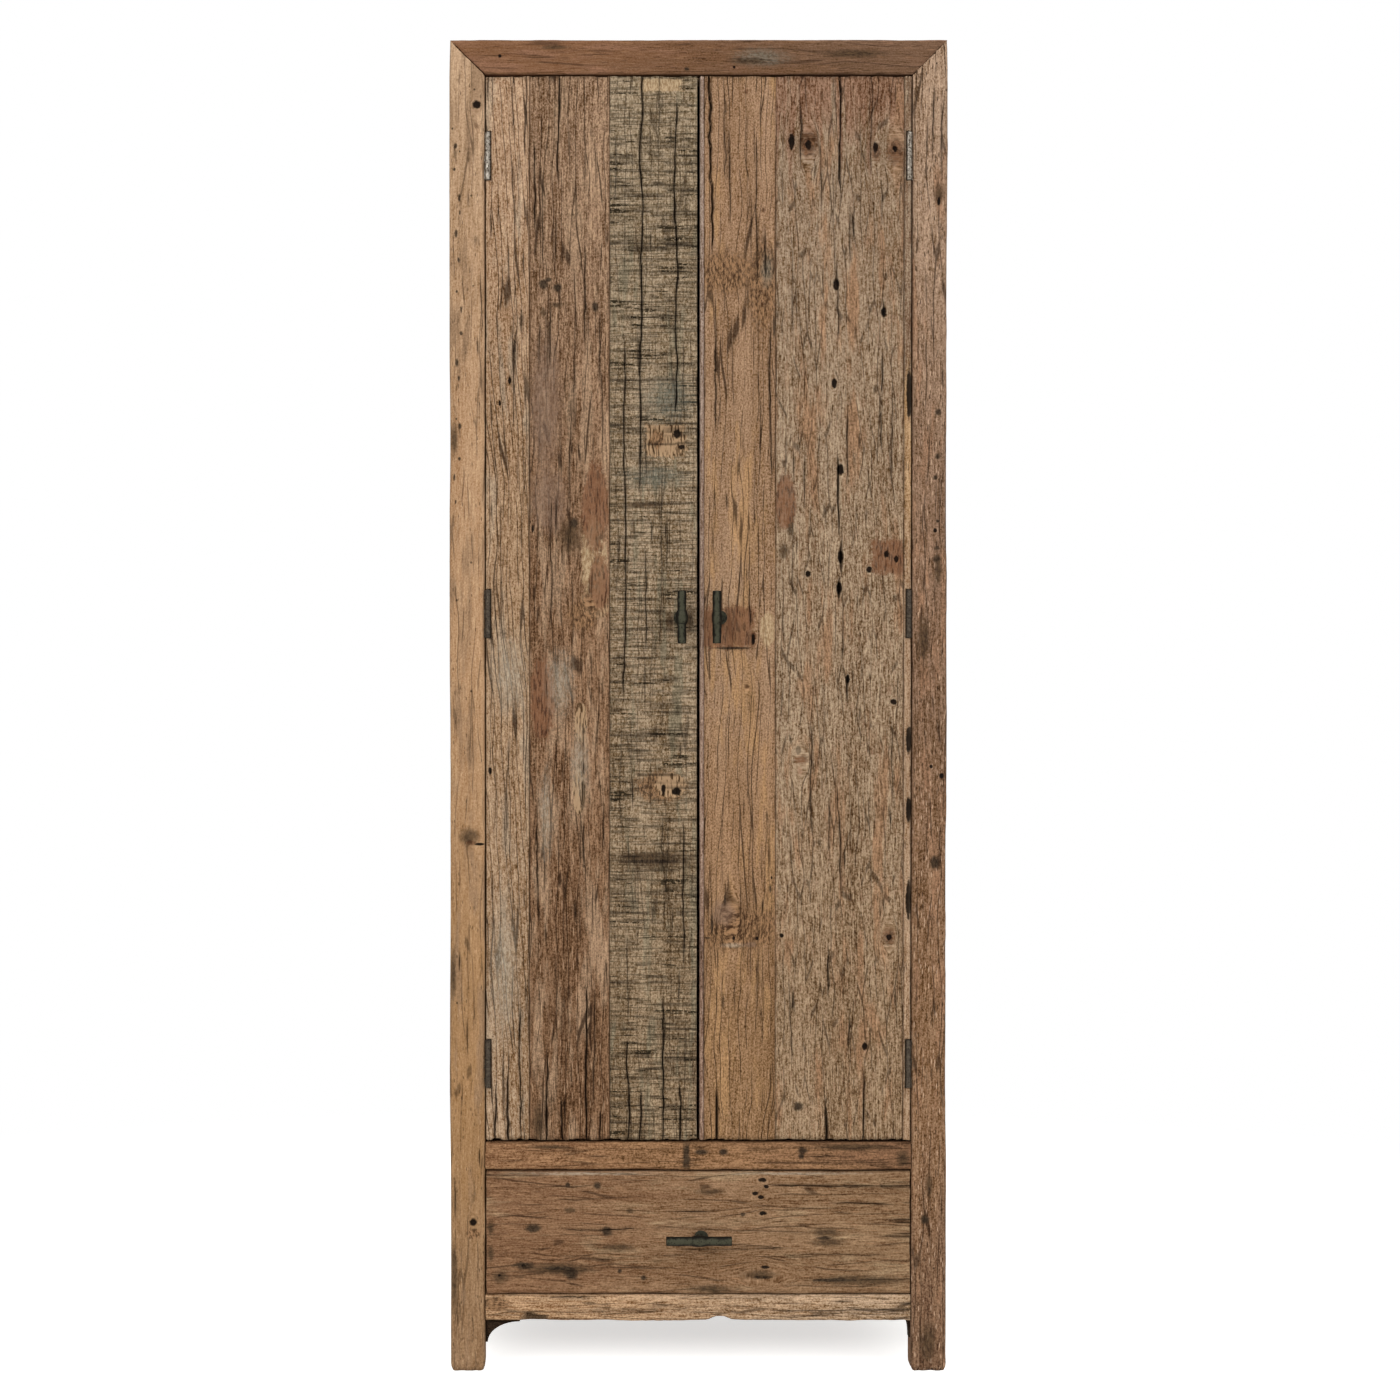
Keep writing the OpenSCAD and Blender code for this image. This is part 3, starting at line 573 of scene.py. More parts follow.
@dataclass(frozen=True)
class OldMetal(Finish):
    """Steel or iron that has darkened with age and handling.

    To the eye it is a dull metal with cloudy brown oxide in the hollows and a faint shine where it is rubbed.
    The sizes of its clouds and dents are in millimetres. Its front shading paints faces turned to the front
    lighter and the flanks darker, as the lamps would shade a round bar.
    """

    bright: str
    dull: str
    oxide: str
    metallic: float = 1.0
    rough: float = 0.45
    oxide_share: float = 0.5
    cloud: float = 6.0
    dent: float = 3.0
    bump: float = 0.35
    shine: float = 0.5
    painted_front_shading: float = 0.0

    def surface(self, tree: Tree) -> dict[str, object]:
        """Lay oxide in the dents over a clouded metal, and give the shader's inputs.

        Args:
            tree: The material's nodes.

        Returns:
            The shader's inputs.
        """
        place = add_node(tree, "TexCoord").outputs["Object"]
        clouds = {"Vector": place, "Scale": 1 / (self.cloud * MM), "Detail": 5.0, "Roughness": 0.65}
        cloud = add_node(tree, "TexNoise", clouds).outputs["Fac"]
        dents = {"Vector": place, "Scale": 1 / (self.dent * MM), "Detail": 3.0}
        dent = add_node(tree, "TexNoise", dents).outputs["Fac"]
        # Painted shading: a handle's faces turned to the front are painted lighter and its flanks darker, as
        # the lamps in front would shade the round bar.
        held = add_node(tree, "Attribute", attribute_name="held").outputs["Fac"]
        tone = add_node(tree, "Math", {0: held, 1: self.painted_front_shading, 2: cloud}, operation="MULTIPLY_ADD")
        ramp = add_node(tree, "ValToRGB", {"Fac": tone})
        stops = ramp.color_ramp.elements
        stops[0].position, stops[0].color = 0.36, linear(self.dull)
        stops[1].position, stops[1].color = 0.66, linear(self.bright)
        clean, rusty = 0.66 - 0.3 * self.oxide_share, 0.74 - 0.2 * self.oxide_share
        rust = {"Value": dent, "From Min": clean, "From Max": rusty}
        share = add_node(tree, "MapRange", rust, interpolation_type="SMOOTHSTEP")
        rusted = add_node(tree, "Mix", {"Factor": share, 6: ramp, 7: linear(self.oxide)}, data_type="RGBA")
        gloss = {"Value": cloud, "From Min": 0.3, "From Max": 0.7}
        gloss |= {"To Min": self.rough + 0.2, "To Max": self.rough}
        relief = {"Height": dent, "Strength": self.bump, "Distance": 0.4 * MM}
        return {
            "Base Color": rusted.outputs[2],
            "Metallic": self.metallic,
            "Specular IOR Level": self.shine,
            "Roughness": add_node(tree, "MapRange", gloss),
            "Normal": add_node(tree, "Bump", relief),
        }


@dataclass(frozen=True)
class MouldedPlastic(Finish):
    """Moulded nylon of the door catches. To the eye it is ivory, even and slightly grained from the mould."""

    colour: str

    def surface(self, tree: Tree) -> dict[str, object]:
        """Grain the plastic, and give the shader's inputs.

        Args:
            tree: The material's nodes.

        Returns:
            The shader's inputs.
        """
        place = add_node(tree, "TexCoord").outputs["Object"]
        # A mould's grain is about 0.3 mm, drawn at 0.8 mm so that it shows.
        grain = add_node(tree, "TexNoise", {"Vector": place, "Scale": 1 / (0.8 * MM), "Detail": 2.0})
        ramp = add_node(tree, "ValToRGB", {"Fac": grain})
        for stop, light in zip(ramp.color_ramp.elements, (0.75, 1.2)):
            stop.color = brighter(linear(self.colour), light)
        relief = {"Height": grain, "Strength": 0.2, "Distance": 0.1 * MM}
        return {"Base Color": ramp, "Roughness": 0.42, "IOR": 1.53, "Normal": add_node(tree, "Bump", relief)}


# ---- mesh helpers


class Noise:
    """Smooth random values from 0 to 1 over a plane, the same in every run."""

    SIZE = 256

    def __init__(self, seed: int) -> None:
        """Fill the table that the values are read from."""
        self.table = np.random.default_rng(seed).random((self.SIZE, self.SIZE))

    def at(self, x: Array | float, y: Array | float = 0.0) -> Array:
        """Read the noise.

        Args:
            x: The first coordinate, where one unit is one hill.
            y: The second coordinate.

        Returns:
            The values, from 0 to 1.
        """
        x, y = np.broadcast_arrays(np.asarray(x, float), np.asarray(y, float))
        column, row = np.floor(x).astype(int), np.floor(y).astype(int)
        u, v = x - column, y - row
        u, v = u * u * (3 - 2 * u), v * v * (3 - 2 * v)
        last = self.SIZE - 1
        corners = [self.table[(column + i) & last, (row + j) & last] for i in (0, 1) for j in (0, 1)]
        low = corners[0] * (1 - v) + corners[1] * v
        high = corners[2] * (1 - v) + corners[3] * v
        return low * (1 - u) + high * u


def seed_of(name: str) -> int:
    """Give a name its own fixed seed."""
    return zlib.crc32(name.encode())


def rows_of(items: bpy.types.bpy_prop_collection, name: str, width: int, kind: type) -> Array:
    """Read a value of each vertex or edge.

    Args:
        items: The mesh's vertices or edges.
        name: The value's name.
        width: How many numbers it has.
        kind: What they are.

    Returns:
        One row for each vertex or edge.
    """
    found = np.empty(len(items) * width, kind)
    items.foreach_get(name, found)
    return found.reshape(-1, width)


def points(piece: Piece) -> Array:
    """Give a mesh's vertices as rows of three numbers, in metres."""
    return rows_of(piece.data.vertices, "co", 3, np.float32).astype(float)


def edge_ends(piece: Piece) -> Array:
    """Give the two vertices of each of a mesh's edges, as rows of two numbers."""
    return rows_of(piece.data.edges, "vertices", 2, np.int32)


def set_points(piece: Piece, places: Array) -> None:
    """Put a mesh's vertices at new places."""
    piece.data.vertices.foreach_set("co", places.astype(np.float32).ravel())
    piece.data.update()


def smooth(value: Array | float) -> Array:
    """Ease a value from 0 to 1, and hold it there outside."""
    t = np.clip(value, 0.0, 1.0)
    return t * t * (3 - 2 * t)


def select_only(piece: Piece) -> None:
    """Make one object the selected and active one."""
    bpy.ops.object.select_all(action="DESELECT")
    piece.select_set(True)
    bpy.context.view_layer.objects.active = piece


def edit_edges(piece: Piece, chosen: Array) -> None:
    """Open a mesh in edit mode with only the chosen edges selected.

    Args:
        piece: The mesh object.
        chosen: Whether each edge is selected.
    """
    select_only(piece)
    bpy.context.tool_settings.mesh_select_mode = (False, True, False)
    bpy.ops.object.mode_set(mode="EDIT")
    bpy.ops.mesh.select_all(action="DESELECT")
    bpy.ops.object.mode_set(mode="OBJECT")
    piece.data.edges.foreach_set("select", chosen)
    bpy.ops.object.mode_set(mode="EDIT")


def smooth_faces(piece: Piece, degrees: float) -> None:
    """Shade a mesh smooth, except where its faces meet at more than an angle."""
    select_only(piece)
    bpy.ops.object.shade_smooth_by_angle(angle=math.radians(degrees))


def solids(node: str) -> list[Box]:
    """Find the separate solids of a CAD node.

    Args:
        node: The node's name.

    Returns:
        The lowest and highest corner of each solid, in metres.
    """
    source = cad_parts[node]
    keys, same = np.unique(np.round(points(source), 5), axis=0, return_inverse=True)
    ends = same.ravel()[edge_ends(source)]
    label = np.arange(len(keys))
    while True:
        lowest = label.copy()
        np.minimum.at(lowest, ends[:, 0], label[ends[:, 1]])
        np.minimum.at(lowest, ends[:, 1], label[ends[:, 0]])
        lowest = lowest[lowest]
        if (lowest == label).all():
            break
        label = lowest
    return [(keys[label == k].min(0), keys[label == k].max(0)) for k in np.unique(label)]


def cut_edges(piece: Piece, axis: int, cells: int, shortest: float) -> None:
    """Divide the edges that run along one axis, in rounds of at most a hundred.

    Args:
        piece: The mesh object.
        axis: 0, 1 or 2 for X, Y or Z.
        cells: How many cells the length gets.
        shortest: Edges shorter than this stay whole.
    """
    rounds = math.ceil(cells / 100)
    for count in (rounds, math.ceil(cells / rounds)):
        if count < 2:
            continue
        places, ends = points(piece), edge_ends(piece)
        run = places[ends[:, 1]] - places[ends[:, 0]]
        length = np.linalg.norm(run, axis=1)
        edit_edges(piece, (np.abs(run[:, axis]) > 0.999 * length) & (length > shortest))
        bpy.ops.mesh.subdivide(number_cuts=count - 1)
        bpy.ops.object.mode_set(mode="OBJECT")


def softened_box(name: str, low: Array, high: Array, arris: float) -> Piece:
    """Add a cube at its size and place, and round its edges.

    Args:
        name: The new object's name.
        low: Its lowest corner.
        high: Its highest corner.
        arris: The width of its rounded edges, in metres.

    Returns:
        The new object, which sits at the origin.
    """
    bpy.ops.object.select_all(action="DESELECT")
    bpy.ops.mesh.primitive_cube_add(size=1, location=(low + high) / 2, scale=high - low)
    piece = bpy.context.object
    piece.name = piece.data.name = name
    bpy.ops.object.transform_apply(location=True, rotation=True, scale=True)
    bpy.ops.object.mode_set(mode="EDIT")
    bpy.ops.mesh.select_all(action="SELECT")
    bpy.ops.mesh.bevel(offset=arris, segments=2, affect="EDGES")
    bpy.ops.object.mode_set(mode="OBJECT")
    return piece


def dress(piece: Piece, material: Material, body: str, slot: str, *nodes: str) -> None:
    """Give a finished piece its material and its body, and hide the CAD nodes that it replaces.

    Args:
        piece: The finished piece.
        material: Its material.
        body: The CAD body that it moves with.
        slot: The record's material slot; not used.
        nodes: The CAD nodes that it replaces.
    """
    piece.data.materials.clear()
    piece.data.materials.append(material)
    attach(piece, body)
    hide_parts(*nodes)
    LOG.info("%s: %d faces, rides on %s", piece.name, len(piece.data.polygons), body)


def joined(pieces: list[Piece], name: str) -> Piece:
    """Join several objects into one, and name it.

    Args:
        pieces: The objects.
        name: The joined object's name.

    Returns:
        The joined object.
    """
    bpy.ops.object.select_all(action="DESELECT")
    for piece in pieces:
        piece.select_set(True)
    bpy.context.view_layer.objects.active = pieces[0]
    if len(pieces) > 1:
        bpy.ops.object.join()
    pieces[0].name = pieces[0].data.name = name
    return pieces[0]


def write_attribute(piece: Piece, name: str, kind: str, values: Array) -> None:
    """Store one value for each vertex.

    Args:
        piece: The mesh object.
        name: The attribute's name.
        kind: FLOAT, FLOAT_VECTOR or FLOAT_COLOR.
        values: The values, one row a vertex.
    """
    field_name = {"FLOAT": "value", "FLOAT_VECTOR": "vector", "FLOAT_COLOR": "color"}[kind]
    attribute = piece.data.attributes.new(name, kind, "POINT")
    attribute.data.foreach_set(field_name, values.astype(np.float32).ravel())


def store_wood(
    piece: Piece, grain: Array, along: Array, dirt_and_shade: Array | float = 0.0, wear: Array | float = 0.0
) -> None:
    """Store what a wooden finish reads from each vertex.

    Args:
        piece: The wooden piece.
        grain: The grain's own coordinates, in metres.
        along: The place along the board, in metres.
        dirt_and_shade: How dark dirt and painted shade make it, from 0 to 1.
        wear: How far it is rubbed pale, from 0 to 1.
    """
    age = np.zeros((len(along), 4))
    age[:, 0], age[:, 1], age[:, 3] = dirt_and_shade, wear, 1.0
    write_attribute(piece, "grain", "FLOAT_VECTOR", grain)
    write_attribute(piece, "place", "FLOAT", along / MM)
    write_attribute(piece, "age", "FLOAT_COLOR", age)


# ---- boards


class Face(Enum):
    """The side of a board that shows, as its axis and the sign of its outward direction."""

    FRONT = (1, -1)
    BACK = (1, 1)
    LEFT = (0, -1)
    RIGHT = (0, 1)
    TOP = (2, 1)


@dataclass(frozen=True)
class Wear:
    """How deep age has worn a board, in millimetres, how dark its seams are, and how many dents it has."""

    wave: float = 0.8
    ridge: float = 0.35
    arris: float = 1.6
    low_end: float = 1.0
    high_end: float = 1.0
    dents: int = 12
    seam: float = 0.35
    rub: float = 0.3
    checks: int = 0


@dataclass(frozen=True)
class Rebate:
    """A piece cut out of a board's front edge, in millimetres, and which of its two edges that is."""

    start: float
    end: float
    width: float
    depth: float
    high_edge: bool


@dataclass
class OldBoard:
    """A weathered board, modelled from a box that is cut into cells and then worn, cracked and holed.

    Its cells, rounded edges, mitres and saw lines are in millimetres; its lean is the grain's slope.
    """

    name: str
    node: str
    finish: OldWood
    cell: Pair
    arris: float
    wear: Wear = field(default_factory=Wear)
    cracks: tuple[Crack, ...] = ()
    face: Face = Face.FRONT
    lean: float = 0.0
    saw_lines: Pair = (0.0, 0.0)
    low_mitre: float = 0.0
    high_mitre: float = 0.0
    low_gap: float = 0.0
    rebates: tuple[Rebate, ...] = ()
    tongued: bool = False
    shaped: Callable[["Worn"], None] | None = None

    def tongues(self) -> list[Piece]:
        """Make the thin loose tongues that sit in the edges of neighbouring boards and close their gaps.

        Returns:
            One strip for each pair of neighbours.
        """
        boxes, strips = solids(self.node), []
        for low, high in boxes:
            depth, across, along = np.argsort(high - low)
            for next_low, next_high in boxes:
                gap = next_low[across] - high[across]
                level = all(abs(next_low[axis] - low[axis]) < 5 * MM for axis in (along, depth))
                if not (level and 0 < gap < TONGUE_REACH):
                    continue
                start, end = np.maximum(low, next_low), np.minimum(high, next_high)
                middle = (start[depth] + end[depth]) / 2
                start[across], end[across] = high[across] - TONGUE_REACH, next_low[across] + TONGUE_REACH
                start[depth], end[depth] = middle - TONGUE_THICK / 2, middle + TONGUE_THICK / 2
                start[along], end[along] = start[along] + MM, end[along] - MM
                strip = softened_box(f"{self.name}_tongue", start, end, 0.3 * MM)
                places = points(strip)
                # The tongues are painted darker: painted shade in the gaps between boards.
                store_wood(strip, places[:, [across, depth, along]], places[:, along], dirt_and_shade=0.4)
                strips.append(strip)
        return strips

    def build(self, body: str, slot: str) -> None:
        """Make the node's boards, wear them and dress them.

        Args:
            body: The CAD body that they move with.
            slot: The record's material slot.
        """
        boards = [Worn(self, number, low, high).piece for number, (low, high) in enumerate(solids(self.node))]
        piece = joined(boards + (self.tongues() if self.tongued else []), self.name)
        smooth_faces(piece, BOARD_ANGLE)
        dress(piece, self.finish.build(), body, slot, self.node)


class Worn:
    """One board's cells while it is being worn, in its own terms: across, in from its face, and along."""

    def __init__(self, plan: OldBoard, number: int, low: Array, high: Array) -> None:
        """Cut a box into cells and wear it.

        Args:
            plan: What the board is like.
            number: Which of the node's boards this is.
            low: Its lowest corner, in metres.
            high: Its highest corner, in metres.
        """
        self.plan = plan
        size = high - low
        self.depth_axis, self.sign = plan.face.value
        flat = [axis for axis in range(3) if axis != self.depth_axis]
        self.along_axis = max(flat, key=lambda axis: size[axis])
        self.across_axis = 3 - self.depth_axis - self.along_axis
        self.noise = Noise(seed_of(plan.name) + number)
        self.random = np.random.default_rng(seed_of(plan.name) + number)
        coarse = 1.0
        arris = min(plan.arris * MM, 0.2 * size.min())
        self.piece = softened_box(f"{plan.name}_{number}", low, high, arris)
        self.cells = {}
        steps = ((self.across_axis, plan.cell[0]), (self.depth_axis, 5.0), (self.along_axis, plan.cell[1]))
        for axis, step in steps:
            inner = size[axis] - 2 * arris
            count = max(2, round(inner / (step * coarse * MM)))
            self.cells[axis] = inner / count
            cut_edges(self.piece, axis, count, 2.2 * arris)
        places = points(self.piece)
        self.face_at = (low if self.sign < 0 else high)[self.depth_axis]
        depth = np.abs(places[:, self.depth_axis] - self.face_at)
        self.rest = (places[:, self.across_axis], depth, places[:, self.along_axis])
        self.across, self.depth, self.along = self.rest
        axes = (self.across_axis, self.along_axis, self.depth_axis)
        self.width, self.length, self.thick = (size[axis] for axis in axes)
        self.start_across, self.start_along = low[self.across_axis], low[self.along_axis]
        self.end_across, self.end_along = self.start_across + self.width, self.start_along + self.length
        self.dark, self.rubbed, self.slide_across, self.slide_along, self.press = np.zeros((5, len(places)))
        self.wear_faces()
        self.cut_cracks()
        self.cut_saw_lines()
        self.press_marks()
        self.wear_edges()
        if plan.shaped:
            plan.shaped(self)
        self.finish()

    def front(self, reach: float = 8.0) -> Array:
        """Say how much each vertex belongs to the shown face, from 1 on it to 0 at a depth in millimetres."""
        return np.clip(1 - self.rest[1] / (reach * MM), 0, 1)

    def darken(self, amount: Array) -> None:
        """Make each vertex at least this dark, with dirt and with painted shade in cracks, rebates, chips and
        broken ends.
        """
        self.dark = np.maximum(self.dark, amount)

    def wear_faces(self) -> None:
        """Press slow hollows, raised grain and dents into both faces."""
        wear = self.plan.wear
        u, l = self.rest[0] / MM, self.rest[2] / MM
        hollow = wear.wave * self.noise.at(u / 55, l / 260) * MM
        fine = 0.5 * self.noise.at(u / 1.9 + 90, l / 26)
        self.press += hollow + wear.ridge * (self.noise.at(u / 3.4 + 40, l / 70) + fine) * MM
        for _ in range(wear.dents):
            centre = self.random.random(2) * (self.width, self.length) + (self.start_across, self.start_along)
            radius = (2 + 5 * self.random.random(2)) * (1, 2.2) * MM
            reach = np.hypot((self.rest[0] - centre[0]) / radius[0], (self.rest[2] - centre[1]) / radius[1])
            self.press += DENT * smooth(1 - reach)

    def cut_cracks(self) -> None:
        """Open each crack as a V whose lines of vertices follow its wandering path."""
        step = self.cells[self.across_axis]
        length = self.rest[2] / MM
        for number, crack in enumerate(self.plan.cracks + tuple(self.small_checks())):
            # A crack is open to its full width where it runs out of the board's end, and thins out elsewhere.
            fade = min(40.0, 0.4 * (crack.end - crack.start))
            low = 1.0 if crack.start <= self.start_along / MM + 1 else smooth((length - crack.start) / fade)
            high = 1.0 if crack.end >= self.end_along / MM - 1 else smooth((crack.end - length) / fade)
            taper = low * high * ((length >= crack.start - 1) & (length <= crack.end + 1))
            swing = self.noise.at(length / 85, 7.3 * number + 3) - 0.5
            swing = swing + 0.35 * (self.noise.at(length / 16, number) - 0.5)
            centre = (crack.across + 2 * crack.wander * swing) * MM
            half = 0.5 * crack.width * MM * (0.55 + 0.9 * self.noise.at(length / 24, 11 + number)) * taper
            away = self.rest[0] - centre
            # Only rows away from the long edges move, so that the board stays inside its box.
            middle = np.minimum(self.rest[0] - self.start_across, self.end_across - self.rest[0])
            held = self.front() * (taper > 0.02) * (middle > 0.6 * step)
            line = (np.abs(away) <= 0.5 * step) * held
            shoulder = (np.abs(away) > 0.5 * step) * (np.abs(away) <= 1.5 * step) * held
            brim = np.sign(away) * np.clip(half, 0.12 * step, 1.3 * step)
            self.slide_across += line * -away + shoulder * (brim - away)
            self.press += (line + 0.08 * shoulder) * crack.depth * MM * taper
            # The slit and its shoulders are painted darker: painted shade in the crack.
            uneven = 0.7 + 0.3 * self.noise.at(length / 30, 5 + number)
            strength = smooth(crack.width / 2.2) * taper * uneven
            self.darken((line + 0.4 * shoulder) * strength)

    def small_checks(self) -> list[Crack]:
        """Choose the places of the small drying checks that old boards are full of.

        Returns:
            The checks.
        """
        found = []
        for _ in range(self.plan.wear.checks):
            across = (self.start_across + self.width * (0.04 + 0.92 * self.random.random())) / MM
            start = (self.start_along + self.length * self.random.random()) / MM
            long = 35 + 190 * self.random.random() ** 2
            size = 0.9 + 1.3 * self.random.random() ** 2
            found.append(Crack(across, start, start + long, size, 1.4 * size, 1.0 + 0.01 * long))
        return found

    def cut_saw_lines(self) -> None:
        """Cut the shallow dark grooves of an old frame saw across the board."""
        place, last = self.plan.saw_lines
        number = 0
        while place < last:
            lean = (self.random.random() - 0.5) * 0.03
            away = self.rest[2] - (place * MM + lean * (self.rest[0] - self.start_across))
            row = (np.abs(away) <= 0.5 * self.cells[self.along_axis]) * self.front()
            broken = smooth(2.6 * self.noise.at(self.rest[0] / (22 * MM), 3.1 * number) - 0.75)
            self.slide_along += row * -away
            self.press += row * broken * GROOVE
            self.darken(row * broken * (0.35 + 0.4 * self.random.random()))
            place += self.random.choice((6.0, 9.0, 12.0, 17.0, 26.0)) * (0.8 + 0.4 * self.random.random())
            number += 1

    def press_marks(self) -> None:
        """Press the pits of the marks into the face."""
        u, l = self.rest[0], self.rest[2]
        for mark in self.plan.finish.marks:
            if not mark.depth:
                continue
            spot = mark.spot()
            reach_across = (u - spot[self.across_axis]) / self.extent(mark, self.across_axis)
            reach_along = (l - spot[self.along_axis]) / self.extent(mark, self.along_axis)
            if mark.square:
                reach = np.maximum(np.abs(reach_across), np.abs(reach_along))
                chips = 0.5 + 1.2 * self.noise.at(u / (7 * MM) + l / (9 * MM), l / (16 * MM))
                self.press += mark.depth * MM * chips * smooth((1.0 - reach) / 0.12) * self.front()
            else:
                reach = np.hypot(reach_across, reach_along)
                self.press += mark.depth * MM * smooth(1.15 - reach) * self.front()

    def extent(self, mark: Mark, axis: int) -> float:
        """Give a mark's half size along an axis in metres, and never less than about a cell's half."""
        return max(mark.width if axis == 0 else mark.height, 1100 * self.cells[axis]) * MM / 2

    def wear_edges(self) -> None:
        """Round the long edges unevenly, break the ends and darken the seams between boards."""
        wear = self.plan.wear
        u, l = self.rest[0], self.rest[2] / MM
        for side, inward in ((u - self.start_across, 1), (self.end_across - u, -1)):
            edge = smooth(1 - side / (5 * MM))
            broad, fine = self.noise.at(l / 48, 20 * inward + 3), self.noise.at(l / 9, 60 * inward)
            worn = smooth(1.5 * broad - 0.2) + 0.5 * fine
            self.press += wear.arris * MM * edge * edge * worn * self.front()
            flank = np.clip(1 - side / (6 * MM), 0, 1)
            self.slide_across += inward * 0.35 * wear.arris * MM * worn * flank * self.front()
            line = smooth(1 - side / (2.2 * MM)) * self.front()
            self.darken(wear.seam * line * (0.4 + 0.6 * self.noise.at(l / 60, 5 * inward)))
            bright = smooth(1 - side / (7 * MM)) * self.front()
            self.rubbed = np.maximum(self.rubbed, wear.rub * bright * self.noise.at(l / 33, 9 * inward))
        self.break_end(self.rest[2] - self.start_along, 1, wear.low_end)
        self.break_end(self.end_along - self.rest[2], -1, wear.high_end)

    def break_end(self, distance: Array, inward: int, amount: float) -> None:
        """Wear one end back unevenly, fibre by fibre.

        Args:
            distance: How far each vertex is from that end, in metres.
            inward: 1 at the low end and -1 at the high end.
            amount: The deepest wear, in millimetres.
        """
        u, d = self.rest[0] / MM, self.rest[1] / MM
        broad, fine = self.noise.at(u / 17 + 5 * inward, d / 30), self.noise.at(u / 4.5, d / 9 + inward)
        zone = max(14.0, 4 * amount) * MM
        back = amount * MM * smooth(1.6 * (0.5 * broad + 0.5 * fine) - 0.35)
        self.slide_along += inward * back * np.clip(1 - distance / zone, 0, 1)
        shade = smooth(1 - distance / (3 * MM)) * (amount > 1.5) * self.front()
        self.darken(0.5 * shade)

    def mitre(self) -> tuple[Array, Array]:
        """Work out how far each end is cut back to its mitre, in metres.

        Returns:
            The cut at the low end and at the high end, for each vertex.
        """
        plan = self.plan
        outer = self.start_across + (0 if plan.low_mitre + plan.high_mitre > 0 else self.width)
        share = np.abs(self.rest[0] - outer) / self.width
        low = abs(plan.low_mitre) * MM * share + plan.low_gap * MM * share * self.front(25)
        return low, abs(plan.high_mitre) * MM * share

    def finish(self) -> None:
        """Move the vertices to their worn places and store what the finish reads."""
        u, d, l = self.rest
        zone = max(self.press.max() * 2.2, min(8 * MM, 0.45 * self.thick))
        sunk = self.press * np.clip(1 - d / zone, 0, 1)
        backs = 0.6 * self.plan.wear.wave * MM * self.noise.at(u / (60 * MM), l / (200 * MM) + 50)
        rise = backs * np.clip(1 - (self.thick - d) / (0.4 * self.thick), 0, 1)
        self.depth = d + sunk - rise
        self.across = np.clip(u + self.slide_across, self.start_across, self.end_across)
        low, high = self.mitre()
        from_low = np.clip(1 - (l - self.start_along) / (0.25 * self.length), 0, 1)
        from_high = np.clip(1 - (self.end_along - l) / (0.25 * self.length), 0, 1)
        self.along = l + self.slide_along + low * from_low - high * from_high
        for rebate in self.plan.rebates:
            self.cut_rebate(rebate)
        places = np.empty((len(d), 3))
        places[:, self.depth_axis] = self.face_at - self.sign * self.depth
        places[:, self.across_axis] = self.across
        places[:, self.along_axis] = self.along
        set_points(self.piece, places)
        self.store_grain()

    def cut_rebate(self, rebate: Rebate) -> None:
        """Fold the board's front corner in: its face becomes the rebate's side and its edge the floor.

        Args:
            rebate: Where the board is cut.
        """
        edge, inward = (self.end_across, -1) if rebate.high_edge else (self.start_across, 1)
        from_edge = np.abs(self.rest[0] - edge) / MM
        depth, along = self.rest[1] / MM, self.rest[2] / MM
        step, row = self.cells[self.across_axis] / MM, self.cells[self.along_axis] / MM
        corner = 0.35 * self.plan.arris
        front = (from_edge < rebate.width + 0.5 * step) & (depth < min(corner, from_edge.max()) + 1e-6)
        flank = (from_edge < corner) & (depth < rebate.depth + 2.5) & ~front
        inside = (along > rebate.start - 0.2 * row) & (along < rebate.end + 0.2 * row)
        wall, floor = front & inside, flank & inside
        share = np.clip(from_edge / rebate.width, 0, 1)
        share[from_edge > rebate.width - 0.5 * step] = 1.0
        self.across[wall] = edge + inward * rebate.width * MM
        self.depth[wall] = rebate.depth * MM * (1 - share[wall])
        drop = np.clip(depth / rebate.depth, 0, 1)
        drop[depth > rebate.depth - 1.5] = 1.0
        self.across[floor] = edge + inward * rebate.width * MM * (1 - drop[floor])
        self.depth[floor] = rebate.depth * MM
        # The rebate's wall and floor are painted darker: painted shade in the recess.
        self.darken(0.45 * (wall | floor))
        fade = np.clip(1.6 - from_edge / (1.6 * rebate.width), 0, 1)
        for end, way in ((rebate.start, 1), (rebate.end, -1)):
            beyond = (along - end) * way
            rim = inside & (beyond < 0.8 * row)
            lip = ~inside & (beyond < 0) & (beyond > -1.2 * row)
            self.along[rim] += (end * MM - self.along[rim]) * fade[rim]
            self.along[lip] += ((end - 0.3 * way) * MM - self.along[lip]) * fade[lip]

    def store_grain(self) -> None:
        """Store the grain's own coordinates, bent round the knots, the place along the board and the age,
        whose dark share holds dirt and painted shade.
        """
        u, l = self.across, self.along
        slow = 4 * MM * (self.noise.at(l / (240 * MM), 0.5) - 0.5)
        bent = slow + 1.5 * MM * self.noise.at(l / (60 * MM), u / (30 * MM))
        slanted = u + self.plan.lean * (l - self.start_along) + bent
        for mark in self.plan.finish.marks:
            if mark.kind not in (KNOT, HOLE) or max(mark.width, mark.height) < 9:
                continue
            spot, radius = mark.spot(), 0.5 * mark.width * MM
            away, above = u - spot[self.across_axis], (l - spot[self.along_axis]) / 2.2
            reach = np.hypot(away, above) + 1e-6
            outside = away * (radius / np.maximum(reach, radius)) ** 2
            slanted -= outside * np.exp(-((reach / (5 * radius)) ** 2)) * 0.9
        grain = np.stack([slanted, self.depth, l], 1) + self.random.random(3) * GRAIN_SPREAD
        store_wood(self.piece, grain, l, np.clip(self.dark, 0, 1), self.rubbed)


# ---- softened copies for the inside


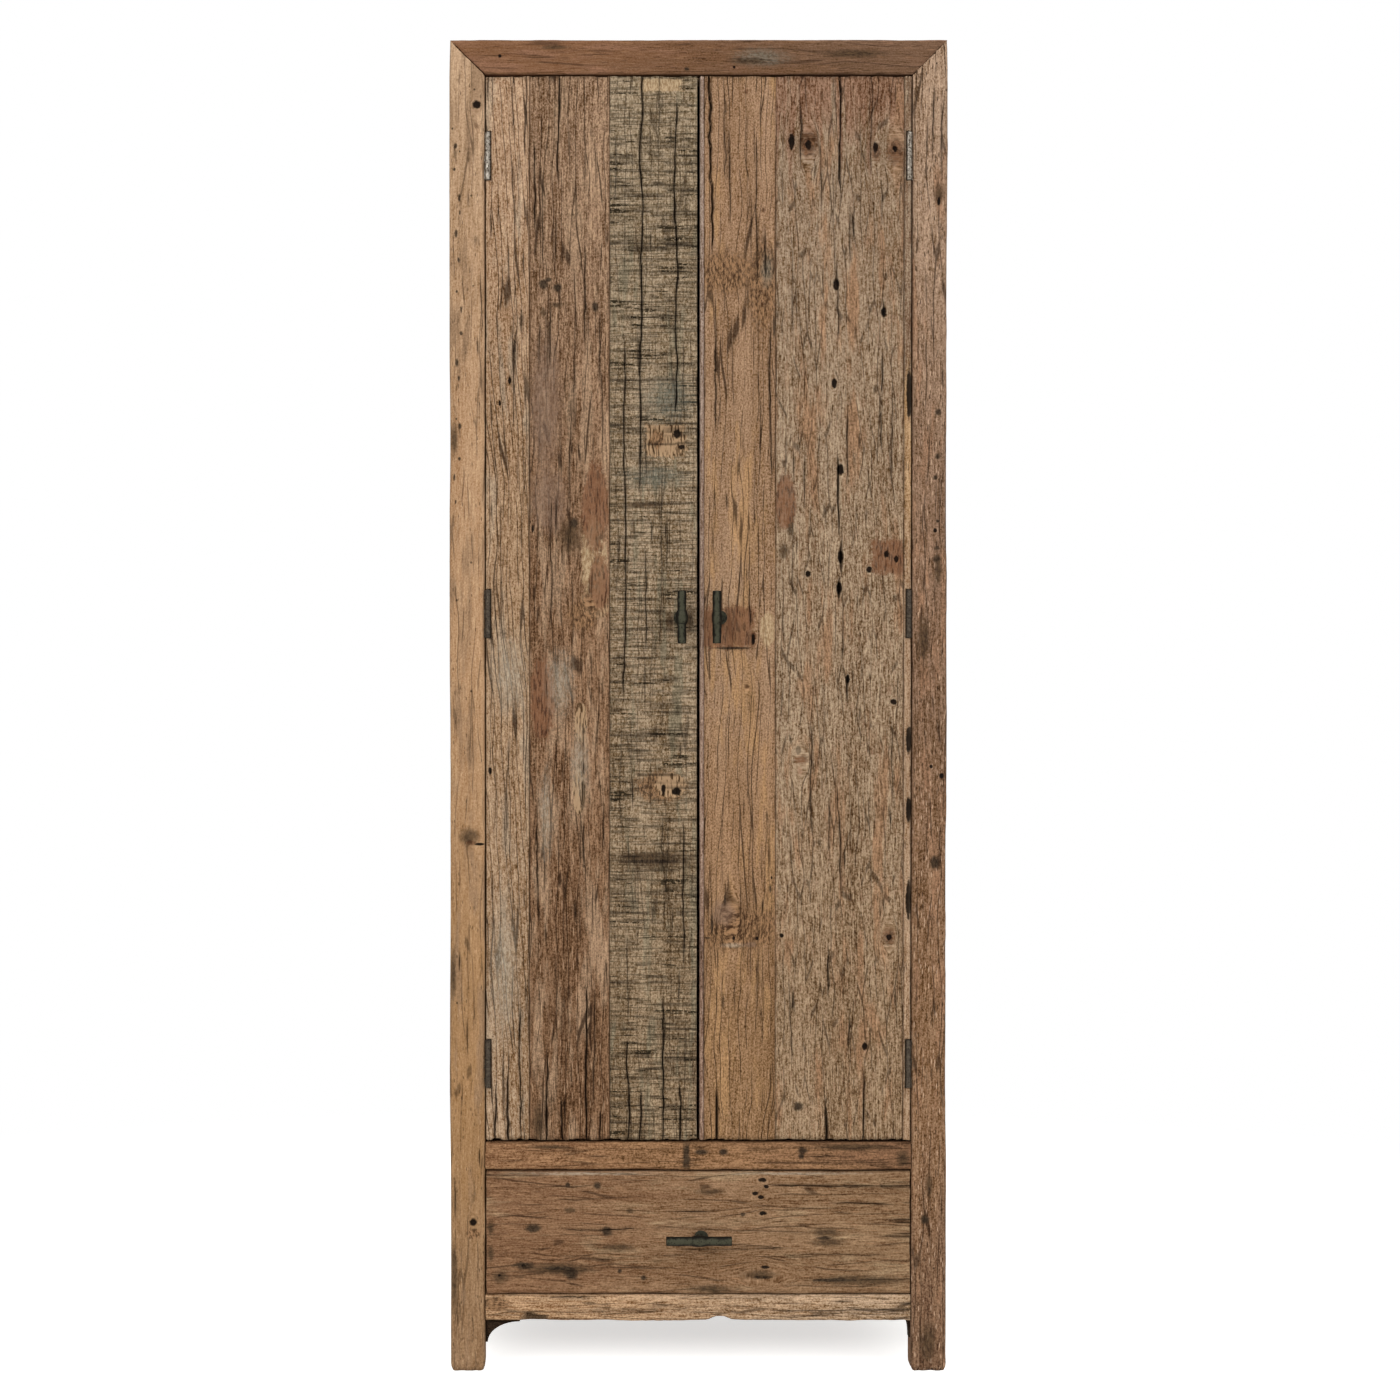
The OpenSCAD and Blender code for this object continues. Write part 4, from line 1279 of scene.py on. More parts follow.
@dataclass
class PlainPart:
    """A planed part, made from a copy of its CAD mesh with its edges softened by a width in millimetres.

    A spread draws it out to the right and downward from its upper left corner.
    """

    name: str
    node: str
    finish: OldWood
    edge: float = 1.0
    spread: Pair = (1.0, 1.0)

    def build(self, body: str, slot: str) -> None:
        """Copy the node's mesh, merge it, soften its edges and dress it.

        Args:
            body: The CAD body that it moves with.
            slot: The record's material slot.
        """
        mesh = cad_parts[self.node].data.copy()
        mesh.name = self.name
        piece = bpy.data.objects.new(self.name, mesh)
        bpy.context.scene.collection.objects.link(piece)
        select_only(piece)
        bpy.ops.object.mode_set(mode="EDIT")
        bpy.ops.mesh.select_all(action="SELECT")
        bpy.ops.mesh.remove_doubles(threshold=MERGED)
        bpy.ops.mesh.customdata_custom_splitnormals_clear()
        bpy.ops.mesh.dissolve_limited(angle_limit=math.radians(FLAT_ANGLE))
        bpy.ops.object.mode_set(mode="OBJECT")
        places, corner = points(piece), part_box(self.node)
        places[:, 0] = corner[0].x + (places[:, 0] - corner[0].x) * self.spread[0]
        places[:, 2] = corner[1].z + (places[:, 2] - corner[1].z) * self.spread[1]
        set_points(piece, places)
        soft = piece.modifiers.new("soft_edges", "BEVEL")
        soft.width, soft.segments = self.edge * MM, 2
        soft.limit_method, soft.angle_limit = "ANGLE", math.radians(EDGE_ANGLE)
        bpy.ops.object.modifier_apply(modifier=soft.name)
        smooth_faces(piece, BOARD_ANGLE)
        self.store_grain(piece)
        dress(piece, self.finish.build(), body, slot, self.node)

    def store_grain(self, piece: Piece) -> None:
        """Store the grain's coordinates, which run along each solid's longest side, on the softened copy.

        Args:
            piece: The softened copy.
        """
        places = points(piece)
        grain, along = places.copy(), places[:, 2].copy()
        random = np.random.default_rng(seed_of(self.name))
        for low, high in solids(self.node):
            inside = ((places > low - 0.1 * MM) & (places < high + 0.1 * MM)).all(1)
            order = np.argsort(high - low)
            turned = places[:, [order[1], order[0], order[2]]] + random.random(3) * GRAIN_SPREAD
            grain[inside] = turned[inside]
            along[inside] = places[inside, order[2]]
        store_wood(piece, grain, along)


# ---- the finishes of this armoire

# A row of marks is a kind, x, z, width and height in millimetres, then a depth and whether it is square.
TAN_STILE = OldWood(
    "old_teak_weathered_tan_stile",
    (
        Tone(2100, "#9c8064", "#bb9a7b", "#cfae8c"), Tone(1250, "#9b7756", "#b48e6b", "#c5a17c"),
        Tone(450, "#866441", "#9c7852", "#a9835d"), Tone(60, "#75583e", "#8c6d4f", "#a08060"),
    ),
    streak=(3, 50), streak_gain=0.5, line_gain=0.5, speck_spacing=22, second="#8f7257",
    second_share=0.4, fibre_gain=0.6, dash_gain=0.6, dash_share=0.2, grit_gain=0.8, line=(17, 300),
    dash=(3, 12), fleck_gain=0.2,
    marks=marks_of(
        (HOLE, -356, 2036, 12, 13, 5), (FADED, -368, 862, 36, 30), (KNOT, -366, 852, 16, 9),
        (HOLE, -352, 850, 15, 4, 2), (HOLE, -362, 240, 11, 11, 5), (ROUGH, -362, 222, 26, 18),
        (FADED, -392, 1500, 14, 60), (FADED, -394, 640, 10, 90), (FADED, -393, 150, 12, 120),
        # Small stains run down the outer edge, and each one's number scatters its place and size.
        *(
            (STAIN, k * k * 5 % 17 - 395, 1998 - 39 * k + k * k * 11 % 31, 3 + 3 * k % 4, 4 + 7 * k % 12)
            for k in range(17)
        ),
    ),
)
BROWN_STILE = OldWood(
    "old_teak_weathered_brown_stile",
    (
        Tone(2100, "#8c715b", "#a68a71", "#b79980"), Tone(1250, "#6b513c", "#82654f", "#977861"),
        Tone(450, "#725439", "#8d6b50", "#9e7e61"), Tone(60, "#63493a", "#7b5d46", "#8d6f57"),
    ),
    streak=(3, 55), line_gain=0.7, speck_spacing=20, second="#9a7458", second_share=0.35,
    streak_gain=0.8, dash_share=0.3, line=(14, 260), dash=(2.6, 16), dash_gain=0.85, fleck_gain=0.8,
    marks=marks_of(
        (STAIN, 385, 1544, 11, 12), (STAIN, 384, 1473, 9, 10), (STAIN, 380, 1439, 8, 9),
        (STAIN, 384, 1369, 6, 6), (HOLE, 380, 1354, 6, 6), (STAIN, 383, 1326, 9, 8),
        (STAIN, 383, 1308, 14, 14), (FADED, 386, 1894, 20, 34), (HOLE, 385, 1882, 5, 12),
        (FADED, 370, 48, 30, 70), (FADED, 385, 1290, 14, 50), (FADED, 362, 1180, 22, 80),
        (STAIN, 380, 820, 16, 24), (HOLE, 391, 960, 8, 8), (HOLE, 374, 975, 5, 5),
        (STAIN, 365, 245, 16, 14), (FADED, 372, 300, 12, 40),
    ),
)
TOP_RAIL_WOOD = OldWood(
    "old_teak_planed_red_brown_rail",
    (
        Tone(-330, "#755239", "#805b41", "#8b674b"), Tone(330, "#634b37", "#735642", "#80624c"),
    ),
    streak=(2.6, 90), streak_gain=0.5, broad_gain=0.7, line_gain=0.5, second="#8f6850", second_share=0.5,
    dash_gain=0.5, fibre_gain=0.8, line=(10, 400), grit_gain=0.9,
    marks=marks_of(
        (HOLE, -319, 2114, 5, 5, 2), (STAIN, -19, 2093, 10, 6), (HOLE, 57, 2096, 4, 4),
        (FADED, 250, 2118, 120, 14), (PAINT, 100, 2112, 90, 30), (FADED, 84, 2106, 60, 12),
        (FADED, -230, 2128, 50, 8),
    ),
)
LEFT_OUTER_WOOD = OldWood(
    "old_teak_weathered_tan_plank",
    (
        Tone(2000, "#8a6a4d", "#ab896c", "#bd9d7f"), Tone(1200, "#806246", "#a18162", "#b49576"),
        Tone(500, "#806246", "#9f8265", "#b3987d"),
    ),
    streak=(2.8, 80), line=(10, 500), line_width=1.2, line_gain=0.8, second="#a58f77",
    second_share=0.25, streak_gain=0.6, line_wander=24, dash_share=0.1, dash_gain=0.4,
    line_breaks=(0.34, 0.46),
    marks=marks_of(
        (HOLE, -303, 1594, 5, 11, 3), (HOLE, -319, 1558, 4, 8, 3), (HOLE, -335, 968, 5, 10, 3),
        (CHALK, -312, 650, 46, 230), (CHALK, -303, 1125, 60, 130),
    ),
)
LEFT_CENTRE_WOOD = OldWood(
    "old_teak_weathered_red_brown_plank",
    (
        Tone(2000, "#6d523b", "#896c55", "#a8896d"), Tone(1200, "#5c422d", "#7c5c43", "#967559"),
        Tone(500, "#553d28", "#70513a", "#88684d"),
    ),
    streak=(2.8, 50), streak_gain=1, line=(14, 330), line_width=1.5, line_gain=0.8,
    second="#a5876b", second_share=0.45, dash_share=0.18, fleck_gain=0.7, line_breaks=(0.42, 0.54),
    marks=marks_of(
        (RED, -250, 1085, 40, 140), (CUT, -166, 1241, 44, 54, 1.2), (CUT, -189, 1046, 20, 62, 1.4),
        (CUT, -191, 935, 20, 72, 1.4), (STAIN, -249, 1749, 16, 18), (STAIN, -241, 1756, 10, 8),
        (STAIN, -226, 1743, 15, 14), (FADED, -228, 1716, 20, 9), (FADED, -249, 1703, 11, 16),
        (STAIN, -166, 1713, 12, 18), (HOLE, -266, 1357, 4, 12, 3), (KNOT, -174, 1252, 24, 30, 2),
        (HOLE, -174, 1255, 8, 11, 3), (PALE, -168, 1310, 40, 130), (MAUVE, -245, 1560, 52, 230),
        (MAUVE, -240, 1400, 60, 110), (RED, -166, 1390, 44, 150), (RED, -160, 1270, 34, 90),
        (FADED, -257, 402, 22, 70), (FADED, -205, 1345, 40, 60), (STAIN, -200, 1366, 14, 18),
        (ROUGH, -185, 1220, 50, 60, 1), (CHALK, -222, 1110, 46, 110), (CHALK, -190, 980, 30, 120),
        (CHALK, -245, 900, 22, 150),
    ),
)
LEFT_INNER_WOOD = OldWood(
    "old_teak_saw_marked_grey_plank",
    (
        Tone(2000, "#73624c", "#958167", "#ad997f"), Tone(1200, "#745f46", "#9a8368", "#b19b80"),
        Tone(500, "#69553e", "#8b745a", "#a48d71"),
    ),
    streak=(2.6, 60), streak_gain=0.5, fibre_gain=0.6, grit_gain=1.6, dash_gain=0.2, line=(18, 420),
    line_width=1.8, line_gain=0.5, saw_gain=1, second="#857a63", second_share=0.25,
    marks=marks_of(
        (PALE, -60, 2068, 66, 20, 1, True), (PAINT, -48, 1566, 84, 80), (PAINT, -70, 1440, 110, 40),
        (CUT, -53, 1498, 62, 50, 1.6, True), (HOLE, -34, 1509, 12, 14, 3), (HOLE, -27, 1488, 9, 7, 3),
        (ROUGH, -66, 1500, 22, 30, 1), (ROUGH, -60, 942, 92, 50, 1), (CUT, -44, 946, 50, 40, 2),
        (HOLE, -56, 938, 6, 16, 3), (FADED, -72, 826, 138, 30), (STAIN, -76, 822, 126, 7),
        (HOLE, -35, 935, 14, 12, 4), (FADED, -90, 1395, 70, 12), (FADED, -14, 1212, 18, 44),
        (FADED, -46, 1208, 16, 34),
    ),
)
EDGE_STRIP_WOOD = OldWood(
    "old_teak_planed_pale_edge_strip",
    (
        Tone(2000, "#7d6656", "#988172", "#b09a8a"), Tone(600, "#75594a", "#8f7260", "#a88b78"),
    ),
    streak=(3, 120), line_gain=0.3,
)
RIGHT_INNER_WOOD = OldWood(
    "old_teak_weathered_orange_tan_plank",
    (
        Tone(2000, "#75573c", "#977659", "#ac8a6d"), Tone(1200, "#745639", "#98795e", "#ad8c6e"),
        Tone(830, "#6e5034", "#927153", "#a88464"), Tone(500, "#684c31", "#8b6a4a", "#a07e5e"),
    ),
    streak=(2.6, 70), line=(11, 460), line_width=1.3, line_gain=0.78, second="#a8825a",
    second_share=0.4, streak_gain=0.55, fibre_gain=0.55, dash_gain=0.4, dash_share=0.06, line_wander=34,
    line_breaks=(0.38, 0.5),
    marks=marks_of(
        (ROUGH, 42, 1768, 88, 76, 1), (ROUGH, 102, 1745, 52, 150, 1), (PAINT, 110, 1772, 22, 58),
        (STAIN, 121, 1682, 4, 46), (ROUGH, 88, 715, 92, 70, 1.5), (ROUGH, 40, 702, 84, 48),
        (RED, 46, 1198, 88, 68, 0, True), (STAIN, 56, 1165, 66, 5), (STAIN, 6, 1205, 7, 46),
        (KNOT, 88, 1181, 10, 26, 2), (HOLE, 88, 1179, 5, 18, 2), (PALE, 111, 1196, 24, 56),
        (KNOT, 104, 1868, 8, 8, 1), (KNOT, 78, 1103, 9, 9, 1), (KNOT, 76, 2057, 8, 8),
        (KNOT, 52, 734, 32, 34), (ROUGH, 58, 724, 66, 60), (MAUVE, 40, 738, 40, 44),
        (CHALK, 55, 687, 38, 8), (MAUVE, 84, 688, 20, 9), (STAIN, 22, 720, 5, 34), (STAIN, 15, 699, 13, 3),
        (STAIN, 43, 760, 3, 20), (HOLE, 57, 699, 4, 6), (HOLE, 94, 698, 5, 6), (HOLE, 118, 796, 3, 5),
        (STAIN, 116, 778, 4, 14),
    ),
)
RIGHT_OUTER_WOOD = OldWood(
    "old_teak_weathered_grey_beige_plank",
    (
        Tone(2060, "#6c4c38", "#87654e", "#9c7b64"), Tone(1930, "#775e46", "#927961", "#a58e76"),
        Tone(1200, "#785f48", "#9a8167", "#b0987d"), Tone(500, "#6c543e", "#8f7457", "#a58b70"),
    ),
    streak=(2.4, 26), streak_gain=1.3, dash_gain=0.6, dash_share=0.22, line=(15, 120), line_gain=0.6,
    second="#9a7455", second_share=0.35, line_width=2,
    marks=marks_of(
        (HOLE, 149, 1977, 9, 24, 3), (KNOT, 176, 1969, 30, 46, 1), (HOLE, 176, 1972, 9, 14, 3),
        (KNOT, 284, 1960, 17, 32, 1), (HOLE, 284, 1968, 7, 16, 3), (KNOT, 316, 1962, 34, 48, 1),
        (HOLE, 315, 1966, 7, 9, 3), (HOLE, 221, 1749, 9, 18, 3), (HOLE, 297, 1704, 8, 16, 3),
        (HOLE, 218, 1590, 8, 14, 3), (RED, 304, 1312, 52, 56, 0, True), (HOLE, 302, 1316, 8, 10, 3),
        (HOLE, 318, 1308, 7, 10, 3), (HOLE, 274, 1291, 8, 10, 3), (HOLE, 176, 1284, 8, 9, 3),
        (HOLE, 314, 1079, 9, 9, 4), (FADED, 137, 1320, 18, 28), (FADED, 147, 1360, 12, 40),
        (RED, 140, 1400, 34, 90), (HOLE, 228, 1452, 10, 16, 4), (HOLE, 228, 1312, 8, 20, 4),
        (HOLE, 226, 1262, 9, 18, 4), (KNOT, 165, 986, 26, 14), (HOLE, 240, 1116, 6, 14, 3),
        (KNOT, 307, 701, 22, 30, 1), (HOLE, 307, 700, 8, 9, 2), (HOLE, 268, 524, 8, 12, 3),
        (HOLE, 134, 703, 6, 6), (STAIN, 161, 427, 17, 17, 1),
    ),
)
HINGE_STRIP_WOOD = OldWood(
    "old_teak_planed_orange_hinge_strip",
    (
        Tone(1640, "#70543f", "#8c725c", "#a08a72"), Tone(1540, "#9a7851", "#b6906a", "#c6a47c"),
        Tone(1240, "#8a6a4e", "#a88a6e", "#b89a7e"),
    ),
    streak=(3, 140), line_gain=0.3,
    marks=marks_of(
        (HOLE, 338, 1574, 8, 76, 4), (HOLE, 338, 1017, 8, 40, 4), (HOLE, 338, 906, 8, 40, 4),
        (HOLE, 338, 760, 8, 60, 4),
    ),
)
MIDDLE_RAIL_WOOD = OldWood(
    "old_teak_planed_brown_rail",
    (
        Tone(-300, "#74523a", "#8b6648", "#9e7857"), Tone(20, "#6c4f35", "#8a6647", "#9e7857"),
        Tone(300, "#604834", "#75553e", "#876348"),
    ),
    streak=(2.8, 90), line=(12, 240), line_gain=0.5, streak_gain=0.55, dash_gain=0.4, dash_share=0.1,
    marks=marks_of(
        (STAIN, -19, 348, 12, 44, 0, True), (STAIN, 5, 354, 26, 10), (STAIN, 41, 354, 16, 12),
        (STAIN, 168, 356, 16, 14), (STAIN, 166, 347, 10, 10), (FADED, 330, 344, 24, 30),
        (FADED, 250, 362, 140, 12), (FADED, -240, 362, 80, 8),
    ),
)
DRAWER_WOOD = OldWood(
    "old_teak_weathered_drawer_front",
    (
        Tone(-300, "#694c36", "#7e5c43", "#8f6d50"), Tone(40, "#6c4f37", "#87684c", "#9a7a5d"),
        Tone(320, "#6a4e38", "#85674b", "#937659"),
    ),
    streak=(2.8, 60), line=(16, 240), line_gain=0.6, speck_spacing=38, second="#9b8163",
    second_share=0.3, streak_gain=0.6, dash_gain=0.5, dash_share=0.12, grit_gain=1.1, fleck_gain=0.7,
    marks=marks_of(
        (STAIN, -162, 300, 14, 13), (STAIN, -210, 301, 9, 9), (STAIN, -266, 231, 28, 16),
        (STAIN, -147, 226, 20, 16), (FADED, -109, 259, 14, 10), (FADED, -207, 260, 22, 10),
        (STAIN, -280, 170, 36, 14), (HOLE, -281, 170, 7, 6, 2), (FADED, -222, 165, 120, 22),
        (STAIN, -225, 166, 66, 7), (STAIN, -204, 156, 26, 20), (FADED, -318, 152, 30, 24),
        (HOLE, -320, 155, 4, 4, 2), (FADED, -334, 190, 12, 30), (FADED, -334, 230, 12, 26),
        (HOLE, 104, 309, 13, 6, 2), (HOLE, 110, 298, 7, 5, 2), (HOLE, 92, 287, 9, 6, 2),
        (HOLE, 101, 281, 9, 6, 2), (HOLE, 104, 255, 11, 6, 2), (FADED, 206, 224, 54, 15),
        (FADED, 208, 208, 60, 14), (STAIN, 204, 215, 26, 6), (HOLE, 108, 168, 13, 5, 2),
        (HOLE, 104, 152, 30, 5, 2), (FADED, 98, 156, 60, 16), (FADED, 262, 147, 170, 17),
        (STAIN, 216, 147, 80, 6), (STAIN, -88, 151, 9, 9), (STAIN, -126, 162, 8, 7), (STAIN, 72, 253, 8, 7),
        (FADED, -130, 200, 60, 14), (FADED, 20, 290, 50, 10), (FADED, 20, 133, 74, 15),
        (CHALK, -190, 319, 250, 6), (CHALK, 150, 319, 260, 5),
    ),
)
BOTTOM_RAIL_WOOD = OldWood(
    "old_teak_weathered_tan_rail",
    (
        Tone(-300, "#8a6648", "#a98664", "#c19d7a"), Tone(300, "#876c51", "#ab8f72", "#bfa286"),
    ),
    streak=(3, 80), streak_gain=0.8, line=(9, 160), line_gain=0.6, line_width=1.5, dash_gain=0.5,
    dash_share=0.2,
    marks=marks_of((ROUGH, -325, 108, 50, 26), (FADED, 320, 98, 50, 8)),
)


def board_wood(name: str, deep: str, middle: str, pale: str, second: str = "#8f765c") -> OldWood:
    """Make the finish of the boards away from the front, with one tone and patches of a second colour."""
    shape = {"streak": (4.6, 80), "broad_gain": 0.9, "speck_spacing": 70, "second_share": 0.4}
    return OldWood(name, (Tone(0, deep, middle, pale),), second=second, **shape)


SIDE_WOOD = board_wood("old_teak_weathered_tan_side", "#775a40", "#93745a", "#a98b6f")
POST_WOOD = board_wood("old_teak_weathered_brown_post", "#6c503a", "#86684f", "#9b7c62")
BACK_WOOD = board_wood("old_teak_sawn_grey_back", "#66533f", "#84705a", "#9c8870", "#7d6a52")
TOP_WOOD = board_wood("old_teak_weathered_grey_top", "#6d5641", "#89705a", "#a0876f", "#7c6048")
# The brackets behind the feet are painted near-black: painted shade, as they sit deep behind the bottom rail.
PAINTED_SHADE_BRACKET_WOOD = board_wood("old_teak_painted_shade_bracket", "#1d140d", "#2c2017", "#3e2f22", "#34271c")
INNER_WOOD = OldWood(
    "old_teak_planed_plain_inside",
    (Tone(0, "#8a6c4e", "#a38465", "#b5977a"),),
    streak=(5, 150), streak_gain=0.5, line_gain=0.25, bump=0.25, dash_gain=0.2, grit_gain=0.5,
)
WORN_STEEL = OldMetal("worn_bright_steel", "#b3aca1", "#645b50", "#3a3027", rough=0.4, oxide_share=0.6)
DARK_STEEL = OldMetal(
    "oxidised_dark_steel", "#5c5245", "#342b22", "#281f17", metallic=0.7, rough=0.5, oxide_share=0.6
)
FORGED_IRON = OldMetal(
    "hand_forged_dark_iron", "#403f31", "#100e08", "#1c150d",
    metallic=0.1, rough=0.5, oxide_share=0.3, cloud=9, shine=0.12, painted_front_shading=0.5,
)
CATCH_PLASTIC = MouldedPlastic("moulded_ivory_nylon", "#d6d2c6")


# ---- sub-assemblies


@dataclass
class FrontFrame:
    """The two front posts, mitred into the top rail, and the two rails below; sizes in millimetres."""

    cell: Pair = (2.2, 6.0)
    mitre_gap: float = 2.0
    foot_round: float = 5.0
    edge_bow: float = 1.6
    arch_x: float = 35.0
    arch_width: float = 36.0
    arch_height: float = 6.0
    chip_x: float = -263.0
    chip_width: float = 46.0
    chip_height: float = 12.0

    def round_foot(self, worn: Worn) -> None:
        """Wear the foot of a post round, as years on a damp floor leave it, and bow its outer edge in.

        Args:
            worn: The post.
        """
        height = (worn.rest[2] - worn.start_along) / MM
        tuck = self.foot_round * MM * np.clip(1 - height / (2.4 * self.foot_round), 0, 1) ** 2
        side = (worn.rest[0] - worn.start_across) / worn.width * 2 - 1
        outward = 1 if worn.start_across > 0 else -1
        bow = self.edge_bow * MM * smooth(2.2 * worn.noise.at(height / 250, 31) - 0.6)
        worn.slide_across -= outward * bow * np.clip(side * outward, 0, 1) ** 2
        worn.slide_across -= tuck * side * 0.7
        worn.press += 0.6 * tuck
        worn.darken(0.35 * smooth(1 - height / 5))

    def shape_bottom_rail(self, worn: Worn) -> None:
        """Cut the small worn arch into the bottom rail and break a chip off its lower front edge.

        Args:
            worn: The rail.
        """
        place, up = worn.rest[2] / MM, (worn.rest[0] - worn.start_across) / MM
        arch = self.arch_height * smooth(1.25 - np.abs(place - self.arch_x) * 2 / self.arch_width)
        ragged = 1.2 * smooth(2 * worn.noise.at(place / 30, 3) - 1.1) + 0.4 * worn.noise.at(place / 7, 9)
        worn.slide_across += (arch + ragged) * MM * np.clip(1 - up / 22, 0, 1)
        top = self.chip_height * (0.75 + 0.5 * worn.noise.at(place / 13, 21))
        chip = smooth(3 - np.abs(place - self.chip_x) * 6 / self.chip_width) * smooth((top - up) / 2.4)
        # The chip's hollow is painted dark: painted shade. The face along the arch's lower edge is darkened
        # too.
        worn.press += 8 * MM * chip * worn.front(20)
        worn.darken(0.8 * chip * worn.front(20))
        worn.darken(0.6 * (arch / self.arch_height) * smooth(1.4 - up / 6) * worn.front())

    def build(self) -> None:
        """Build the five front members and the brackets beside the feet."""
        rail_low, rail_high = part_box("top_rail")
        post_low, post_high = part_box("front_post_left")
        post_mitre, rail_mitre = (rail_high.z - rail_low.z) / MM, (post_high.x - post_low.x) / MM
        foot = {"wear": Wear(wave=1.0, arris=2.2, dents=60, seam=0.3, checks=14), "shaped": self.round_foot}
        mitres = {"low_mitre": -rail_mitre, "high_mitre": -rail_mitre, "low_gap": self.mitre_gap}
        mitres["wear"] = Wear(seam=0.3)
        middle = {
            "wear": Wear(arris=2.4, dents=20, checks=10), "cracks": cracks_of((337, 80, 330, 1.2, 1.5, 1)),
        }
        bottom = {
            "wear": Wear(wave=1.2, ridge=0.6, arris=2.6, dents=20, checks=24),
            "cracks": cracks_of(
                (103, -190, 40, 1.2, 2, 2), (96, -330, -60, 1, 2, 2), (98, 100, 343, 1.6, 3, 2)
            ),
            "shaped": self.shape_bottom_rail,
        }
        left, right = foot | {"high_mitre": post_mitre}, foot | {"high_mitre": -post_mitre}
        for name, node, finish, arris, slot, rest in (
            ("left_post", "front_post_left", TAN_STILE, 1.6, "tan_plank", left),
            ("right_post", "front_post_right", BROWN_STILE, 1.6, "brown_plank", right),
            ("top_rail", "top_rail", TOP_RAIL_WOOD, 1.4, "red_brown_rail", mitres),
            ("middle_rail", "middle_rail", MIDDLE_RAIL_WOOD, 1.4, "brown_plank", middle),
            ("bottom_rail", "bottom_rail", BOTTOM_RAIL_WOOD, 1.2, "tan_plank", bottom),
        ):
            OldBoard(f"{name}_wood", node, finish, self.cell, arris, **rest).build("carcass", slot)
        # The brackets' near-black wood is painted shade.
        for side, wide, tall in (("left", 1.55, 1.3), ("right", 1.0, 1.0)):
            names = (f"{side}_bracket_wood", f"{side}_foot_bracket")
            PlainPart(*names, PAINTED_SHADE_BRACKET_WOOD, spread=(wide, tall)).build("carcass", "brown_plank")


@dataclass
class PlankDoor:
    """A door of planks glued edge to edge, screwed to three battens behind.

    The plank at the hinges is cut away round each knuckle; the three sizes of that cut are in millimetres.
    """

    side: str
    planks: tuple[OldBoard, ...]
    slots: tuple[str, ...]
    rebate_width: float = 8.9
    rebate_depth: float = 6.5
    rebate_room: float = 1.0

    def rebates(self) -> tuple[Rebate, ...]:
        """Find where the hinge-side plank is cut away round the knuckles.

        Returns:
            The cuts.
        """
        room = self.rebate_room
        outer = self.side == "right"
        return tuple(
            Rebate(low[2] / MM - room, high[2] / MM + room, self.rebate_width, self.rebate_depth, outer)
            for low, high in solids(f"{self.side}_hinge_pins")
        )

    def build(self) -> None:
        """Build the planks and the battens of one door."""
        body = f"{self.side}_door"
        hinged = self.planks[0] if self.side == "left" else self.planks[-1]
        hinged.rebates = self.rebates()
        for plank, slot in zip(self.planks, self.slots):
            plank.build(body, slot)
        battens = PlainPart(f"{self.side}_batten_wood", f"{self.side}_door_battens", INNER_WOOD)
        battens.build(body, "plain_wood")


